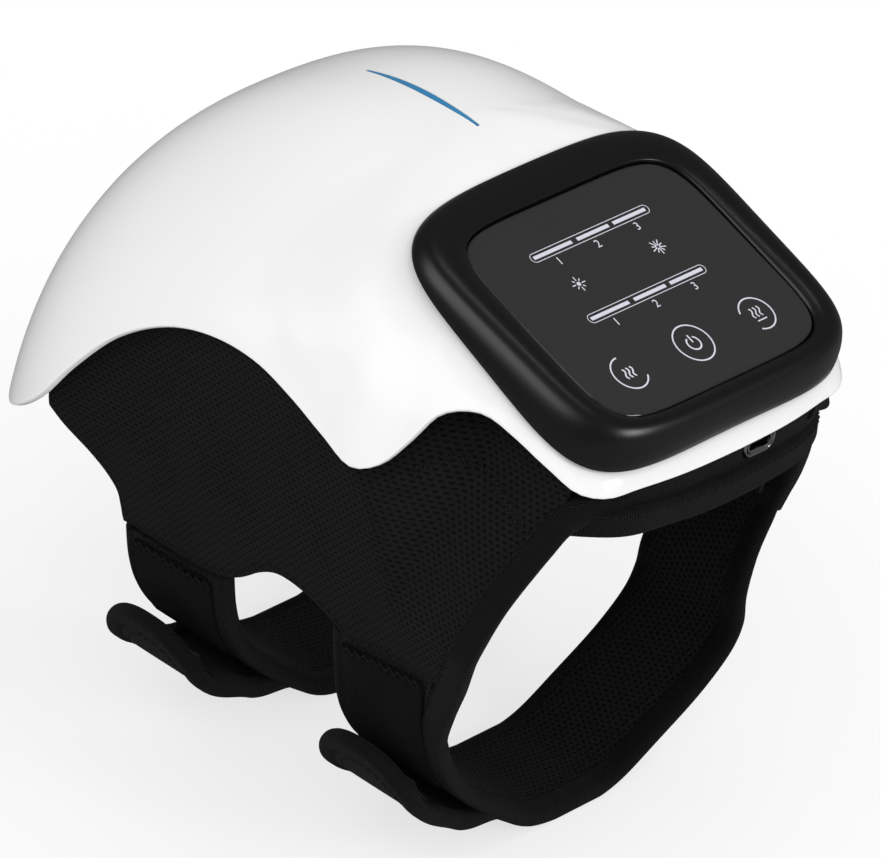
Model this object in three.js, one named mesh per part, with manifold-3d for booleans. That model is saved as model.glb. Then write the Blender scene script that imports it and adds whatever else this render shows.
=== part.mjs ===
// Heated knee massager: a domed shell with a touch panel over a padded liner, held on the leg by two straps.
// Millimetres, +Z up. X runs across the leg, +Y from the thigh towards the shin.
// Inside the knee group the power key on the panel is at zero, and the group stands on the strap bottoms.
import * as THREE from 'three';
import { mergeVertices } from 'three/addons/utils/BufferGeometryUtils.js';
import Module from 'manifold-3d';

const wasm = await Module();
wasm.setup();

// Fits
const fit = 0.3;
const overrun = 4;

// Dome: a superellipsoid over the kneecap, cut back to a shaped rim
const domeHalfWidth = 101.8;
const domeHeight = 120.5;
const domeRearLength = 95.9;
const domeFrontLength = 111.7;
const domeCentreY = 97.3;
const domeTopZ = 26.6;
const domePlanPower = 2.5;
const domeRisePower = 2.22;
const shellLength = 213.5;
const shellWall = 2.5;

// Panel and the flange that carries it
const panelTilt = 18.6;
const flangeTopY = 67;
const flangeTopZ = 22.6;
const flangeTilt = 24.5;
const flangeHalfWidth = 60;
const flangeCrownDrop = 4.2;
const flangeLip = 6;
const bezelHalfWidth = 59.2;
const bezelHalfHeight = 47;
const bezelCentreDown = -23.4;
const bezelCrest = 1.8;
const bezelPower = 4.6;
const glassHalfWidth = 45.2;
const glassHalfHeight = 36;
const glassCentreDown = -21.7;
const glassPower = 6;
const glassThickness = 1.8;
const guideThickness = 2.2;
const boardThickness = 1.6;
const ledgeWidth = 3;
const ledgeThickness = 1.6;
const skirtWall = 2;

// Touch keys under the glass
const keyPitch = 27.1;
const keySpringRadius = 4.2;
const keySpringWall = 0.9;

// Blue inlay on the crown and its lamp board
const inlayStartY = 84.4;
const inlayEndY = 125;
const inlayHalfWidth = 1.05;
const inlayBoardHalfWidth = 4;
const inlayBoardGap = 1.6;

// Soft cover and liner
const coverThickness = 3.2;
const coverInset = shellWall + 3 * fit;
const coverTuck = 5;
const coverRearFlare = 5;
const linerThickness = 4;
const linerBottomZ = -78;
const linerPower = 2.2;
const heaterThickness = 1;
const bindingRadius = 3.3;
const flapHalfWidth = 45.4;
const flapY = -17.4;
const flapTopZ = -22.4;
const flapBottomZ = -36.2;
const flapBulge = 0.8;
const flapTurn = 4.5;

// Loops round the leg
const loopHalfWidth = 81;
const loopDepth = 158;
const strapWidth = 38.5;
const strapThickness = 4.6;
const thighStrapY = 26;
const calfStrapY = 104.5;
const patchMargin = 4.5;
const patchThickness = 1.2;
const tabThickness = 4;
const thighSeamGap = 1.6;
const calfSeamGap = -0.3;

// Inner frame and what it carries
const frameWall = 2;
const frameFrontY = -8;
const frameRearY = 149;
const linerRearY = 154;
const bossRadius = 3.6;
const screwRadius = 1.4;
const screwHeadRadius = 2.8;
const screwHeadHeight = 1.4;
const screwGrip = 9;
const cellRadius = 9.2;
const cellLength = 65;
const cellCapRadius = 3.2;
const cellCapHeight = 1.2;
const cellFirstY = 104.4;
const cellPitch = 19.4;
const cellFirstZ = 7;
const cellSecondZ = 5.5;
const saddleLength = 9;
const motorRadius = 10;
const motorLength = 16;
const motorX = 45;
const motorY = 73;
const motorZ = -1;
const shaftRadius = 1;
const shaftLength = 9;
const weightRadius = 8;
const weightThickness = 5;
const clipThickness = 1.2;
const clipWidth = 7;
const clipFoot = 4.5;
const mainBoardWidth = 66;
const mainBoardLength = 46;
const mainBoardCentreDown = -21;
const mainBoardOut = -15;
const lampY = 68;
const lampRadius = 15;
const lampCupWall = 1.8;
const lampFlange = 3.5;
const lampFlangeThickness = 1.2;
const lampPadRise = 2.5;
const emitterRadius = 3;
const emitterHeight = 3.4;
const emitterCircle = 8.5;

// Charging port in the front flap
const portX = 14;
const portZ = -27.2;
const portHalfWidth = 4.6;
const portHalfHeight = 1.7;
const portDepth = 8;
const portWall = 0.5;
const portRim = 1.4;
const portRimDepth = 6.2;

const looks = {
  gloss: { color: 0xf4f4f5, roughness: 0.18, metalness: 0 },
  blackGloss: { color: 0x1d1d1f, roughness: 0.25, metalness: 0 },
  glass: { color: 0x39393b, roughness: 0.08, metalness: 0 },
  blue: { color: 0x2a82b4, roughness: 0.3, metalness: 0 },
  mesh: { color: 0x1b1b1d, roughness: 0.95, metalness: 0 },
  tape: { color: 0x232326, roughness: 0.85, metalness: 0 },
  fleece: { color: 0x111112, roughness: 1, metalness: 0 },
  hook: { color: 0x2a2a2c, roughness: 0.9, metalness: 0 },
  greyPlastic: { color: 0x3c3f43, roughness: 0.55, metalness: 0 },
  board: { color: 0x1f6b3a, roughness: 0.5, metalness: 0 },
  white: { color: 0xe9e9e6, roughness: 0.6, metalness: 0 },
  metal: { color: 0xb4b7ba, roughness: 0.3, metalness: 1 },
  brass: { color: 0xb98a3c, roughness: 0.4, metalness: 1 },
  cell: { color: 0x2f6fa8, roughness: 0.45, metalness: 0 },
  heater: { color: 0xb8642c, roughness: 0.6, metalness: 0 },
  red: { color: 0x8c1620, roughness: 0.2, metalness: 0 },
};

const part = new THREE.Group();
const knee = new THREE.Group();
part.add(knee);

function addPiece(name, geometry, look) {
  const mesh = new THREE.Mesh(geometry, new THREE.MeshStandardMaterial(look));
  mesh.name = name;
  knee.add(mesh);
}

// Solids and booleans
function toSolid(geometry) {
  const bare = geometry.clone();
  bare.deleteAttribute('normal');
  bare.deleteAttribute('uv');
  const merged = mergeVertices(bare);
  const vertProperties = new Float32Array(merged.attributes.position.array);
  const triVerts = new Uint32Array(merged.index.array);
  return new wasm.Manifold(new wasm.Mesh({ numProp: 3, vertProperties, triVerts }));
}

function toGeometry(solid) {
  const mesh = solid.getMesh();
  const geometry = new THREE.BufferGeometry();
  geometry.setAttribute('position', new THREE.BufferAttribute(mesh.vertProperties, 3));
  geometry.setIndex(new THREE.BufferAttribute(mesh.triVerts, 1));
  return geometry;
}

function signedVolume(positions, index) {
  let volume = 0;
  const corner = [new THREE.Vector3(), new THREE.Vector3(), new THREE.Vector3()];
  for (let i = 0; i < index.length; i += 3) {
    corner.forEach((c, k) => c.fromArray(positions, index[i + k] * 3));
    volume += corner[0].dot(corner[1].clone().cross(corner[2])) / 6;
  }
  return volume;
}

function outwardGeometry(points, index) {
  const positions = points.flatMap((p) => [p.x, p.y, p.z]);
  if (signedVolume(positions, index) < 0) {
    for (let i = 0; i < index.length; i += 3) {
      [index[i], index[i + 1]] = [index[i + 1], index[i]];
    }
  }
  const geometry = new THREE.BufferGeometry();
  geometry.setAttribute('position', new THREE.BufferAttribute(new Float32Array(positions), 3));
  geometry.setIndex(index);
  return mergeVertices(geometry);
}

// Joins a run of equal rings of points: a ring tube when looped, else capped at both ends
function loftRings(rings, looped) {
  const size = rings[0].length;
  const points = rings.flat();
  const index = [];
  const count = looped ? rings.length : rings.length - 1;
  for (let r = 0; r < count; r += 1) {
    for (let k = 0; k < size; k += 1) {
      const next = (k + 1) % size;
      const far = (r + 1) % rings.length;
      const [a, b, c, d] = [r * size + k, r * size + next, far * size + next, far * size + k];
      index.push(a, b, c, a, c, d);
    }
  }
  if (!looped) {
    capRing(points, index, rings[0], 0, true);
    capRing(points, index, rings.at(-1), (rings.length - 1) * size, false);
  }
  return outwardGeometry(points, index);
}

function capRing(points, index, ring, first, turned) {
  const centre = ring.reduce((sum, p) => sum.add(p), new THREE.Vector3()).divideScalar(ring.length);
  const middle = points.length;
  points.push(centre);
  ring.forEach((_, k) => {
    const a = first + k;
    const b = first + ((k + 1) % ring.length);
    index.push(...(turned ? [middle, b, a] : [middle, a, b]));
  });
}

// A sheet of fabric or moulding: the two faces of a grid with walls round them
function sheet(outer, inner) {
  const columns = outer[0].length;
  const rows = outer.length;
  const index = [];
  const quad = (a, b, c, d) => index.push(a, b, c, a, c, d);
  const under = rows * columns;
  const at = (r, c) => r * columns + c;
  for (let r = 0; r < rows - 1; r += 1) {
    for (let c = 0; c < columns - 1; c += 1) {
      quad(at(r, c), at(r, c + 1), at(r + 1, c + 1), at(r + 1, c));
      quad(under + at(r + 1, c), under + at(r + 1, c + 1), under + at(r, c + 1), under + at(r, c));
    }
    const far = columns - 1;
    quad(at(r, 0), at(r + 1, 0), under + at(r + 1, 0), under + at(r, 0));
    quad(at(r + 1, far), at(r, far), under + at(r, far), under + at(r + 1, far));
  }
  for (let c = 0; c < columns - 1; c += 1) {
    const end = rows - 1;
    quad(at(0, c + 1), at(0, c), under + at(0, c), under + at(0, c + 1));
    quad(at(end, c), at(end, c + 1), under + at(end, c + 1), under + at(end, c));
  }
  return outwardGeometry([...outer.flat(), ...inner.flat()], index);
}

function grid(rows, columns, at) {
  return Array.from({ length: rows + 1 }, (_, r) => (
    Array.from({ length: columns + 1 }, (__, c) => at(r / rows, c / columns))));
}

// Offsets a grid of points along its own normals, turned to the side that outwards gives
function offsetGrid(points, distance, outwards) {
  return points.map((row, r) => row.map((point, c) => {
    const down = points[Math.min(r + 1, points.length - 1)][c].clone().sub(points[Math.max(r - 1, 0)][c]);
    const over = row[Math.min(c + 1, row.length - 1)].clone().sub(row[Math.max(c - 1, 0)]);
    const normal = down.cross(over).normalize();
    if (normal.dot(outwards(point)) < 0) {
      normal.negate();
    }
    return point.clone().addScaledVector(normal, distance);
  }));
}

// Reads a smooth curve through hand-chosen places, given as shares of two sizes
function readCurve(shares, firstSize, secondSize) {
  const points = shares.map(([a, b]) => [a * firstSize, b * secondSize]);
  const last = points.length - 1;
  const slope = (i) => {
    const a = points[Math.max(i - 1, 0)];
    const b = points[Math.min(i + 1, last)];
    return (b[1] - a[1]) / (b[0] - a[0]);
  };
  return (value) => {
    const at = THREE.MathUtils.clamp(value, points[0][0], points[last][0]);
    let k = 0;
    while (k < last - 1 && at > points[k + 1][0]) {
      k += 1;
    }
    const span = points[k + 1][0] - points[k][0];
    const t = (at - points[k][0]) / span;
    const rise = t * t * (3 - 2 * t);
    return points[k][1] * (1 - rise) + points[k + 1][1] * rise
      + span * t * (1 - t) * ((1 - t) * slope(k) - t * slope(k + 1));
  };
}

function tube(points, radius, steps, sides) {
  const path = new THREE.CatmullRomCurve3(points, false, 'centripetal');
  const section = new THREE.Shape(new THREE.EllipseCurve(0, 0, radius, radius).getPoints(sides).slice(0, -1));
  return new THREE.ExtrudeGeometry(section, { extrudePath: path, steps });
}

function box(width, length, height, place) {
  const geometry = new THREE.BoxGeometry(width, length, height);
  geometry.translate(place.x, place.y, place.z);
  return geometry;
}

function rod(radius, length, place, turnX, turnZ, sides) {
  const geometry = new THREE.CylinderGeometry(radius, radius, length, sides);
  geometry.rotateX(turnX);
  geometry.rotateZ(turnZ);
  geometry.translate(place.x, place.y, place.z);
  return geometry;
}

const upright = Math.PI / 2;
const smooth = (low, high, value) => THREE.MathUtils.smoothstep(value, low, high);
const roundSides = 16;

// Dome and flange surfaces, met by a ray from the middle of the knee
const domeCentre = new THREE.Vector3(0, domeCentreY, domeTopZ - domeHeight);
const flangeSlope = Math.tan(THREE.MathUtils.degToRad(flangeTilt));
const flangeCrown = flangeCrownDrop / (bezelHalfWidth * bezelHalfWidth);
const flangeMiddleShare = 0.36;
const flangeMiddleY = flangeMiddleShare * flangeTopY;
const flangeHalfLength = flangeTopY - flangeMiddleY + overrun;
const blendStartSideShare = 1.06;
const blendStartTopShare = 0.97;
const blendSideShare = 1.62;
const blendTopShare = 1.2;

function domeReach(ray) {
  const length = ray.y > 0 ? domeRearLength : domeFrontLength;
  const plan = Math.abs(ray.x / domeHalfWidth) ** domePlanPower + Math.abs(ray.y / length) ** domePlanPower;
  const rise = Math.max(ray.z, 0) / domeHeight;
  return (plan ** (domeRisePower / domePlanPower) + rise ** domeRisePower) ** (-1 / domeRisePower);
}

function flangeReach(ray) {
  const a = flangeCrown * ray.x * ray.x;
  const b = ray.z - flangeSlope * ray.y;
  const c = domeCentre.z - flangeTopZ + flangeSlope * (flangeTopY - domeCentre.y);
  return a === 0 ? -c / b : (-b + Math.sqrt(Math.max(b * b - 4 * a * c, 0))) / (2 * a);
}

function flangeShare(at) {
  const across = Math.abs(at.x) / flangeHalfWidth;
  const up = Math.max(at.y - flangeMiddleY, 0) / flangeHalfLength;
  const sum = across ** bezelPower + up ** bezelPower;
  const sideness = sum > 0 ? across ** bezelPower / sum : 0;
  const end = THREE.MathUtils.lerp(blendTopShare, blendSideShare, sideness);
  const start = THREE.MathUtils.lerp(blendStartTopShare, blendStartSideShare, sideness);
  const q = sum ** (1 / bezelPower);
  const left = THREE.MathUtils.clamp((end - q) / (end - start), 0, 1);
  return 0.5 * left + 0.5 * left * left * (3 - 2 * left);
}

function rayAt(azimuth, polar) {
  return new THREE.Vector3(
    -Math.sin(azimuth) * Math.sin(polar),
    -Math.cos(azimuth) * Math.sin(polar),
    Math.cos(polar),
  );
}

// Reach of the shell along a ray, and the share of it that the flange gives
function shellReach(azimuth, polar) {
  const ray = rayAt(azimuth, polar);
  const onDome = domeReach(ray);
  if (ray.y >= 0) {
    return { reach: onDome, share: 0 };
  }
  const onFlange = flangeReach(ray);
  const share = flangeShare(ray.clone().multiplyScalar(onFlange).add(domeCentre));
  return { reach: THREE.MathUtils.lerp(onDome, onFlange, share), share };
}

function shellPoint(azimuth, polar, reach) {
  return rayAt(azimuth, polar).multiplyScalar(reach).add(domeCentre);
}

// Rim of the left half, from the front lip past notch, wing, side arch and foot to the rear arch
const rimShares = [
  [0, -0.115, -0.174], [-0.216, -0.113, -0.174], [-0.393, -0.107, -0.171], [-0.511, -0.101, -0.168],
  [-0.575, -0.073, -0.159], [-0.597, -0.019, -0.134], [-0.612, 0.037, -0.102], [-0.634, 0.089, -0.08],
  [-0.702, 0.126, -0.096], [-0.751, 0.152, -0.183], [-0.781, 0.178, -0.257], [-0.819, 0.206, -0.279],
  [-0.831, 0.258, -0.237], [-0.831, 0.314, -0.195], [-0.825, 0.384, -0.163], [-0.828, 0.454, -0.163],
  [-0.845, 0.52, -0.191], [-0.867, 0.59, -0.274], [-0.89, 0.651, -0.407], [-0.884, 0.698, -0.531],
  [-0.825, 0.752, -0.627], [-0.727, 0.792, -0.68], [-0.609, 0.824, -0.664], [-0.472, 0.852, -0.581],
  [-0.295, 0.871, -0.481], [0, 0.885, -0.415],
];
const rimPlaces = rimShares.map(([x, y, z]) => (
  new THREE.Vector3(x * domeHalfWidth, y * shellLength, z * domeHeight)));
const rimSteps = 36;
const rimCurve = new THREE.CatmullRomCurve3(
  rimPlaces.map((p) => p.clone().sub(domeCentre).normalize()),
  false,
  'centripetal',
);
const leftRays = rimCurve.getSpacedPoints(rimSteps).map((p) => p.normalize());
const rightRays = leftRays.slice(1, -1).reverse().map((p) => new THREE.Vector3(-p.x, p.y, p.z));
const anglesOf = (ray) => ({ azimuth: Math.atan2(-ray.x, -ray.y), polar: Math.acos(ray.z) });
const rimAngles = [...leftRays, ...rightRays].map(anglesOf);

// Round the flange the rim turns down into a lip, which fades out at the notches
const lipAngle = flangeLip / domeFrontLength;
const lipFadeStart = THREE.MathUtils.degToRad(32);
const lipFadeEnd = THREE.MathUtils.degToRad(50);
const meridianShares = [0.14, 0.28, 0.4, 0.5, 0.59, 0.68, 0.76, 0.84, 0.91, 0.96, 1];

// The blend between flange and dome is faired a few times over, with flange and dome held
const fairingPasses = 6;

function fairedReaches() {
  let cells = meridianShares.map((share) => rimAngles.map(({ azimuth, polar }) => {
    const lip = lipAngle * (1 - smooth(lipFadeStart, lipFadeEnd, Math.abs(azimuth)));
    return shellReach(azimuth, Math.min(polar * share, polar - lip));
  }));
  for (let pass = 0; pass < fairingPasses; pass += 1) {
    cells = cells.map((ring, r) => ring.map((cell, k) => {
      if (cell.share === 0 || cell.share === 1) {
        return cell;
      }
      const above = cells[Math.max(r - 1, 0)][k].reach;
      const below = cells[Math.min(r + 1, cells.length - 1)][k].reach;
      const before = ring[(k + ring.length - 1) % ring.length].reach;
      const after = ring[(k + 1) % ring.length].reach;
      return { reach: (above + below + before + after) / 4, share: cell.share };
    }));
  }
  return cells;
}

const shellReaches = fairedReaches();

function shellRings(offset) {
  return meridianShares.map((share, r) => rimAngles.map(({ azimuth, polar }, k) => (
    shellPoint(azimuth, polar * share, shellReaches[r][k].reach + offset))));
}

const fromKnee = (point) => point.clone().sub(domeCentre);

function domeSkin() {
  const outer = shellRings(0);
  const size = outer[0].length;
  const wrapped = outer.map((ring) => [ring.at(-1), ...ring, ring[0]]);
  const inner = offsetGrid(wrapped, -shellWall, fromKnee).map((ring) => ring.slice(1, -1));
  const rings = [...outer, ...inner.reverse()];
  const points = rings.flat();
  const index = [];
  for (let r = 0; r < rings.length - 1; r += 1) {
    for (let k = 0; k < size; k += 1) {
      const next = (k + 1) % size;
      const [a, b, c, d] = [r * size + k, r * size + next, (r + 1) * size + next, (r + 1) * size + k];
      const shorter = points[a].distanceTo(points[c]) < points[b].distanceTo(points[d]);
      index.push(...(shorter ? [a, b, c, a, c, d] : [a, b, d, b, c, d]));
    }
  }
  const top = shellPoint(0, 0, domeHeight);
  const pole = points.push(top, top.clone().setZ(top.z - shellWall)) - 2;
  const lastRing = (rings.length - 1) * size;
  for (let k = 0; k < size; k += 1) {
    const next = (k + 1) % size;
    index.push(pole, next, k, pole + 1, lastRing + k, lastRing + next);
  }
  return outwardGeometry(points, index);
}

// Panel frame: across, down the panel and out of it
const tilt = THREE.MathUtils.degToRad(panelTilt);
const downPanel = new THREE.Vector3(0, -Math.cos(tilt), -Math.sin(tilt));
const outOfPanel = new THREE.Vector3(0, -Math.sin(tilt), Math.cos(tilt));

function onPanel(across, down, out) {
  return new THREE.Vector3(across, 0, 0).addScaledVector(downPanel, down).addScaledVector(outOfPanel, out);
}

function flangeOut(across, down) {
  const drop = flangeTopZ - flangeSlope * flangeTopY - flangeCrown * across * across;
  const perDown = Math.sin(tilt) - flangeSlope * Math.cos(tilt);
  return (drop + perDown * down) / (Math.cos(tilt) + flangeSlope * Math.sin(tilt));
}

const outlineSteps = 44;

function squircle(halfWidth, halfHeight, centreDown, power) {
  return Array.from({ length: outlineSteps }, (_, k) => {
    const angle = (k / outlineSteps) * 2 * Math.PI;
    const [c, s] = [Math.cos(angle), Math.sin(angle)];
    const reach = (Math.abs(c) ** power + Math.abs(s) ** power) ** (-1 / power);
    return [halfWidth * reach * c, centreDown + halfHeight * reach * s];
  });
}

function plateOnPanel(halfWidth, halfHeight, top, thickness) {
  const outline = squircle(halfWidth, halfHeight, glassCentreDown, glassPower);
  const ring = (out) => outline.map(([a, d]) => onPanel(a, d, out));
  return loftRings([ring(top), ring(top - thickness)], false);
}

const guideOut = -glassThickness - fit;
const panelBoardOut = guideOut - guideThickness - fit;
const ledgeOut = panelBoardOut - boardThickness - fit;
const skirtHalfWidth = glassHalfWidth + fit + skirtWall;
const skirtHalfHeight = glassHalfHeight + fit + skirtWall;

// Raised ring round the glass: a crowned bevel, with a skirt and a ledge that carry glass and board
const bevelInsetShares = [0, 0.02, 0.1, 0.24, 0.42, 0.6, 0.78, 0.92, 1];
const bevelRiseShares = [0.03, 0.2, 0.5, 0.78, 0.94, 1, 0.98, 0.9, 0.8];

function bezelSolid() {
  const outer = squircle(bezelHalfWidth, bezelHalfHeight, bezelCentreDown, bezelPower);
  const glass = squircle(glassHalfWidth + fit, glassHalfHeight + fit, glassCentreDown, glassPower);
  const skirt = squircle(skirtHalfWidth, skirtHalfHeight, glassCentreDown, glassPower);
  const ledge = squircle(
    glassHalfWidth - ledgeWidth,
    glassHalfHeight - ledgeWidth,
    glassCentreDown,
    glassPower,
  );
  const rings = bevelInsetShares.map((inset, r) => outer.map(([a, d], k) => {
    const across = THREE.MathUtils.lerp(a, glass[k][0], inset);
    const down = THREE.MathUtils.lerp(d, glass[k][1], inset);
    const foot = flangeOut(across, down) + fit;
    return onPanel(across, down, THREE.MathUtils.lerp(foot, bezelCrest, bevelRiseShares[r]));
  }));
  const skirtFoot = ([a, d]) => Math.min(ledgeOut - ledgeThickness, flangeOut(a, d) - shellWall);
  rings.push(glass.map(([a, d]) => onPanel(a, d, ledgeOut)));
  rings.push(ledge.map(([a, d]) => onPanel(a, d, ledgeOut)));
  rings.push(ledge.map(([a, d], k) => onPanel(a, d, skirtFoot(skirt[k]))));
  rings.push(skirt.map(([a, d]) => onPanel(a, d, skirtFoot([a, d]))));
  rings.push(skirt.map(([a, d]) => onPanel(a, d, flangeOut(a, d) + fit)));
  return loftRings(rings, true);
}

const keyPlaces = [-keyPitch, 0, keyPitch];

function keyBore(across, grow) {
  const place = onPanel(across, 0, guideOut - guideThickness / 2);
  return rod(keySpringRadius + grow, guideThickness + 2 * grow, place, upright + tilt, 0, roundSides);
}

function lightGuide() {
  let guide = toSolid(plateOnPanel(glassHalfWidth, glassHalfHeight, guideOut, guideThickness));
  keyPlaces.forEach((across) => {
    guide = guide.subtract(toSolid(keyBore(across, fit)));
  });
  return toGeometry(guide);
}

function keySpring(across) {
  const outer = toSolid(keyBore(across, 0));
  const place = onPanel(across, 0, guideOut - guideThickness / 2);
  const length = guideThickness + overrun;
  const bore = rod(keySpringRadius - keySpringWall, length, place, upright + tilt, 0, roundSides);
  return toGeometry(outer.subtract(toSolid(bore)));
}

// Inlay: a lens-shaped bar that follows the crown
function crownZ(y) {
  const length = y > domeCentreY ? domeRearLength : domeFrontLength;
  const left = 1 - Math.abs((y - domeCentreY) / length) ** domeRisePower;
  return domeCentre.z + domeHeight * left ** (1 / domeRisePower);
}

const inlaySteps = 12;
const inlayEndShare = 0.25;

function crownBar(startY, endY, halfAt, top, bottom) {
  const rings = Array.from({ length: inlaySteps + 1 }, (_, k) => {
    const share = k / inlaySteps;
    const y = THREE.MathUtils.lerp(startY, endY, share);
    const half = halfAt(share);
    return [[-half, top], [half, top], [half, bottom], [-half, bottom]]
      .map(([x, out]) => new THREE.Vector3(x, y, crownZ(y) + out));
  });
  return loftRings(rings, false);
}

function inlayBar(grow, top, bottom) {
  const lens = (share) => inlayEndShare + (1 - inlayEndShare) * Math.sin(Math.PI * share);
  const halfAt = (share) => grow + inlayHalfWidth * lens(share);
  return crownBar(inlayStartY - grow, inlayEndY + grow, halfAt, top, bottom);
}

function inlayBoard() {
  const top = -shellWall - inlayBoardGap;
  return crownBar(inlayStartY, inlayEndY, () => inlayBoardHalfWidth, top, top - boardThickness);
}

// Half-width of the loop round the leg at a height, to the outside of the cloth
const loopShares = [
  [-1, 0], [-1, 0.17], [-0.985, 0.32], [-0.955, 0.46], [-0.91, 0.58],
  [-0.85, 0.69], [-0.78, 0.78], [-0.7, 0.855], [-0.62, 0.915], [-0.54, 0.96],
  [-0.46, 0.99], [-0.38, 1], [-0.3, 1], [-0.1, 1],
];
const loopHalf = readCurve(loopShares.slice(1), loopDepth, loopHalfWidth);

function domeHalfAt(y, z) {
  const length = y > domeCentreY ? domeRearLength : domeFrontLength;
  const rise = Math.max((z - domeCentre.z) / domeHeight, 0) ** domeRisePower;
  const plan = Math.max(1 - rise, 0) ** (domePlanPower / domeRisePower);
  const left = plan - Math.abs((y - domeCentreY) / length) ** domePlanPower;
  return left > 0 ? domeHalfWidth * left ** (1 / domePlanPower) : 0;
}

// Side cover: hugs the inside of the dome, fills out below it and narrows with the loops.
// Each curve runs by height or by length: [share of loop depth, share of shell length] and so on.
const coverFront = readCurve([
  [-0.709, 0.047], [-0.633, 0.04], [-0.544, 0.019], [-0.443, 0], [-0.348, -0.014],
  [-0.278, -0.026], [-0.203, -0.036], [-0.101, -0.04],
], loopDepth, shellLength);
const coverRear = readCurve([
  [-0.709, 0.583],
  [-0.633, 0.584],
  [-0.582, 0.586],
  [-0.544, 0.594],
  [-0.5, 0.629],
  [-0.456, 0.68],
  [-0.392, 0.731],
  [-0.253, 0.746],
], loopDepth, shellLength);
const coverShoulder = readCurve([
  [-0.475, 1], [-0.392, 0.969], [-0.304, 0.901], [-0.228, 0.809], [-0.165, 0.716],
  [-0.101, 0.667],
], loopDepth, loopHalfWidth);
const coverCorner = readCurve([
  [-0.08, 0.086], [-0.056, 0.049], [-0.023, 0.012], [0.019, 0],
], shellLength, loopHalfWidth);
const coverBottom = readCurve([
  [-0.019, -0.544], [0.141, -0.563], [0.187, -0.57], [0.234, -0.544], [0.29, -0.522],
  [0.347, -0.519], [0.403, -0.544], [0.45, -0.582], [0.496, -0.608], [0.553, -0.62],
], shellLength, loopDepth);
const flareStartShare = 0.55;
const flareEndShare = 0.74;
const cornerLowShare = -0.38;
const cornerHighShare = -0.215;

function coverHalf(y, z) {
  const flare = coverRearFlare * smooth(flareStartShare * shellLength, flareEndShare * shellLength, y);
  const full = loopHalf(z) + flare;
  const corner = coverCorner(y) * smooth(cornerLowShare * loopDepth, cornerHighShare * loopDepth, z);
  return Math.min(full, Math.max(domeHalfAt(y, z) - coverInset, coverShoulder(z) - corner));
}

// Height of the shell's rim along the side, and where the cover tucks in behind it
const rimPoints = shellRings(0).at(-1).slice(0, leftRays.length);
const footIndex = rimPoints.reduce((low, p, k) => (p.z < rimPoints[low].z ? k : low), 0);
const sideRim = rimPoints.slice(0, footIndex).filter((p, k, all) => k === 0 || p.y > all[k - 1].y)
  .map((p) => [p.y, p.z]);
const rimHeight = readCurve(sideRim, 1, 1);
const tuckLimitShare = -0.075;
const flangeSideX = 52;
const flangeClear = 3.8;
const flangeRun = Math.cos(THREE.MathUtils.degToRad(flangeTilt));
const flangeDrop = flangeCrown * flangeSideX * flangeSideX + shellWall / flangeRun + flangeClear;
const underFlange = (y) => flangeTopZ + flangeSlope * (y - flangeTopY) - flangeDrop;
// At the front the right-hand cloth hangs in a little closer to the leg than the left
const leanAcross = 5;
const leanBack = 2;
const leanTopShare = -0.19;
const leanFullShare = -0.33;
const leanFadeShare = -0.58;
const leanLeft = 0.4;
const leanEndShare = 0.19;

function lean(point) {
  if (point.x <= 0) {
    return point;
  }
  const onset = smooth(-leanTopShare, -leanFullShare, -point.z / loopDepth);
  const fade = 1 - (1 - leanLeft) * smooth(-leanFullShare, -leanFadeShare, -point.z / loopDepth);
  const front = 1 - smooth(flapY, leanEndShare * shellLength, point.y);
  const share = onset * fade * front * Math.min(point.x / loopHalfWidth, 1);
  return new THREE.Vector3(point.x - leanAcross * share, point.y + leanBack * share, point.z);
}

const coverColumns = 20;
const coverRows = 7;
const rimGuessShare = -0.2;

// The bottom edge of the cover as a height at each place along it, where the straps are sewn on
const guessAt = (over) => THREE.MathUtils.lerp(
  coverFront(rimGuessShare * loopDepth),
  coverRear(rimGuessShare * loopDepth),
  over,
);
const bottomEdge = readCurve(Array.from({ length: coverColumns + 1 }, (_, k) => {
  const z = coverBottom(guessAt(k / coverColumns));
  return [THREE.MathUtils.lerp(coverFront(z), coverRear(z), k / coverColumns), z];
}), 1, 1);

function sideCover(side) {
  const tuckLimit = tuckLimitShare * loopDepth;
  const outer = grid(coverRows, coverColumns, (down, over) => {
    const guess = guessAt(over);
    const top = Math.min(Math.min(rimHeight(guess), tuckLimit) + coverTuck, underFlange(guess));
    const z = THREE.MathUtils.lerp(top, coverBottom(guess), down);
    const y = THREE.MathUtils.lerp(coverFront(z), coverRear(z), over);
    return new THREE.Vector3(side * coverHalf(y, z), y, z);
  });
  const inner = offsetGrid(outer, -coverThickness, (p) => new THREE.Vector3(p.x, 0, 0));
  return sheet(outer.map((row) => row.map(lean)), inner.map((row) => row.map(lean)));
}

// Leg tunnel: an arch whose crown follows the knee, lined with padded cloth
const tunnelCrown = readCurve([
  [-0.103, -0.256], [0.094, -0.196], [0.281, -0.108], [0.459, -0.076], [0.609, -0.12],
  [0.749, -0.228], [0.843, -0.354],
], shellLength, loopDepth);
const linerOuterHalf = loopHalf(linerBottomZ) - coverThickness - 3 * fit;
const linerWaistShare = 0.04;
const linerWaistEndShare = 0.2;
const linerRows = 10;
const linerColumns = 20;
const archSharpness = 8;

function archPoint(y, angle, grow) {
  const waist = linerWaistShare * loopHalfWidth * (1 - smooth(0, linerWaistEndShare * shellLength, y));
  const half = linerOuterHalf - linerThickness - waist + grow;
  const crown = tunnelCrown(y) + grow;
  const [c, s] = [Math.cos(angle), Math.sin(angle)];
  const x = half * Math.sign(c) * Math.abs(c) ** (2 / linerPower);
  return new THREE.Vector3(x, y, linerBottomZ + (crown - linerBottomZ) * Math.abs(s) ** (2 / linerPower));
}

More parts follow.
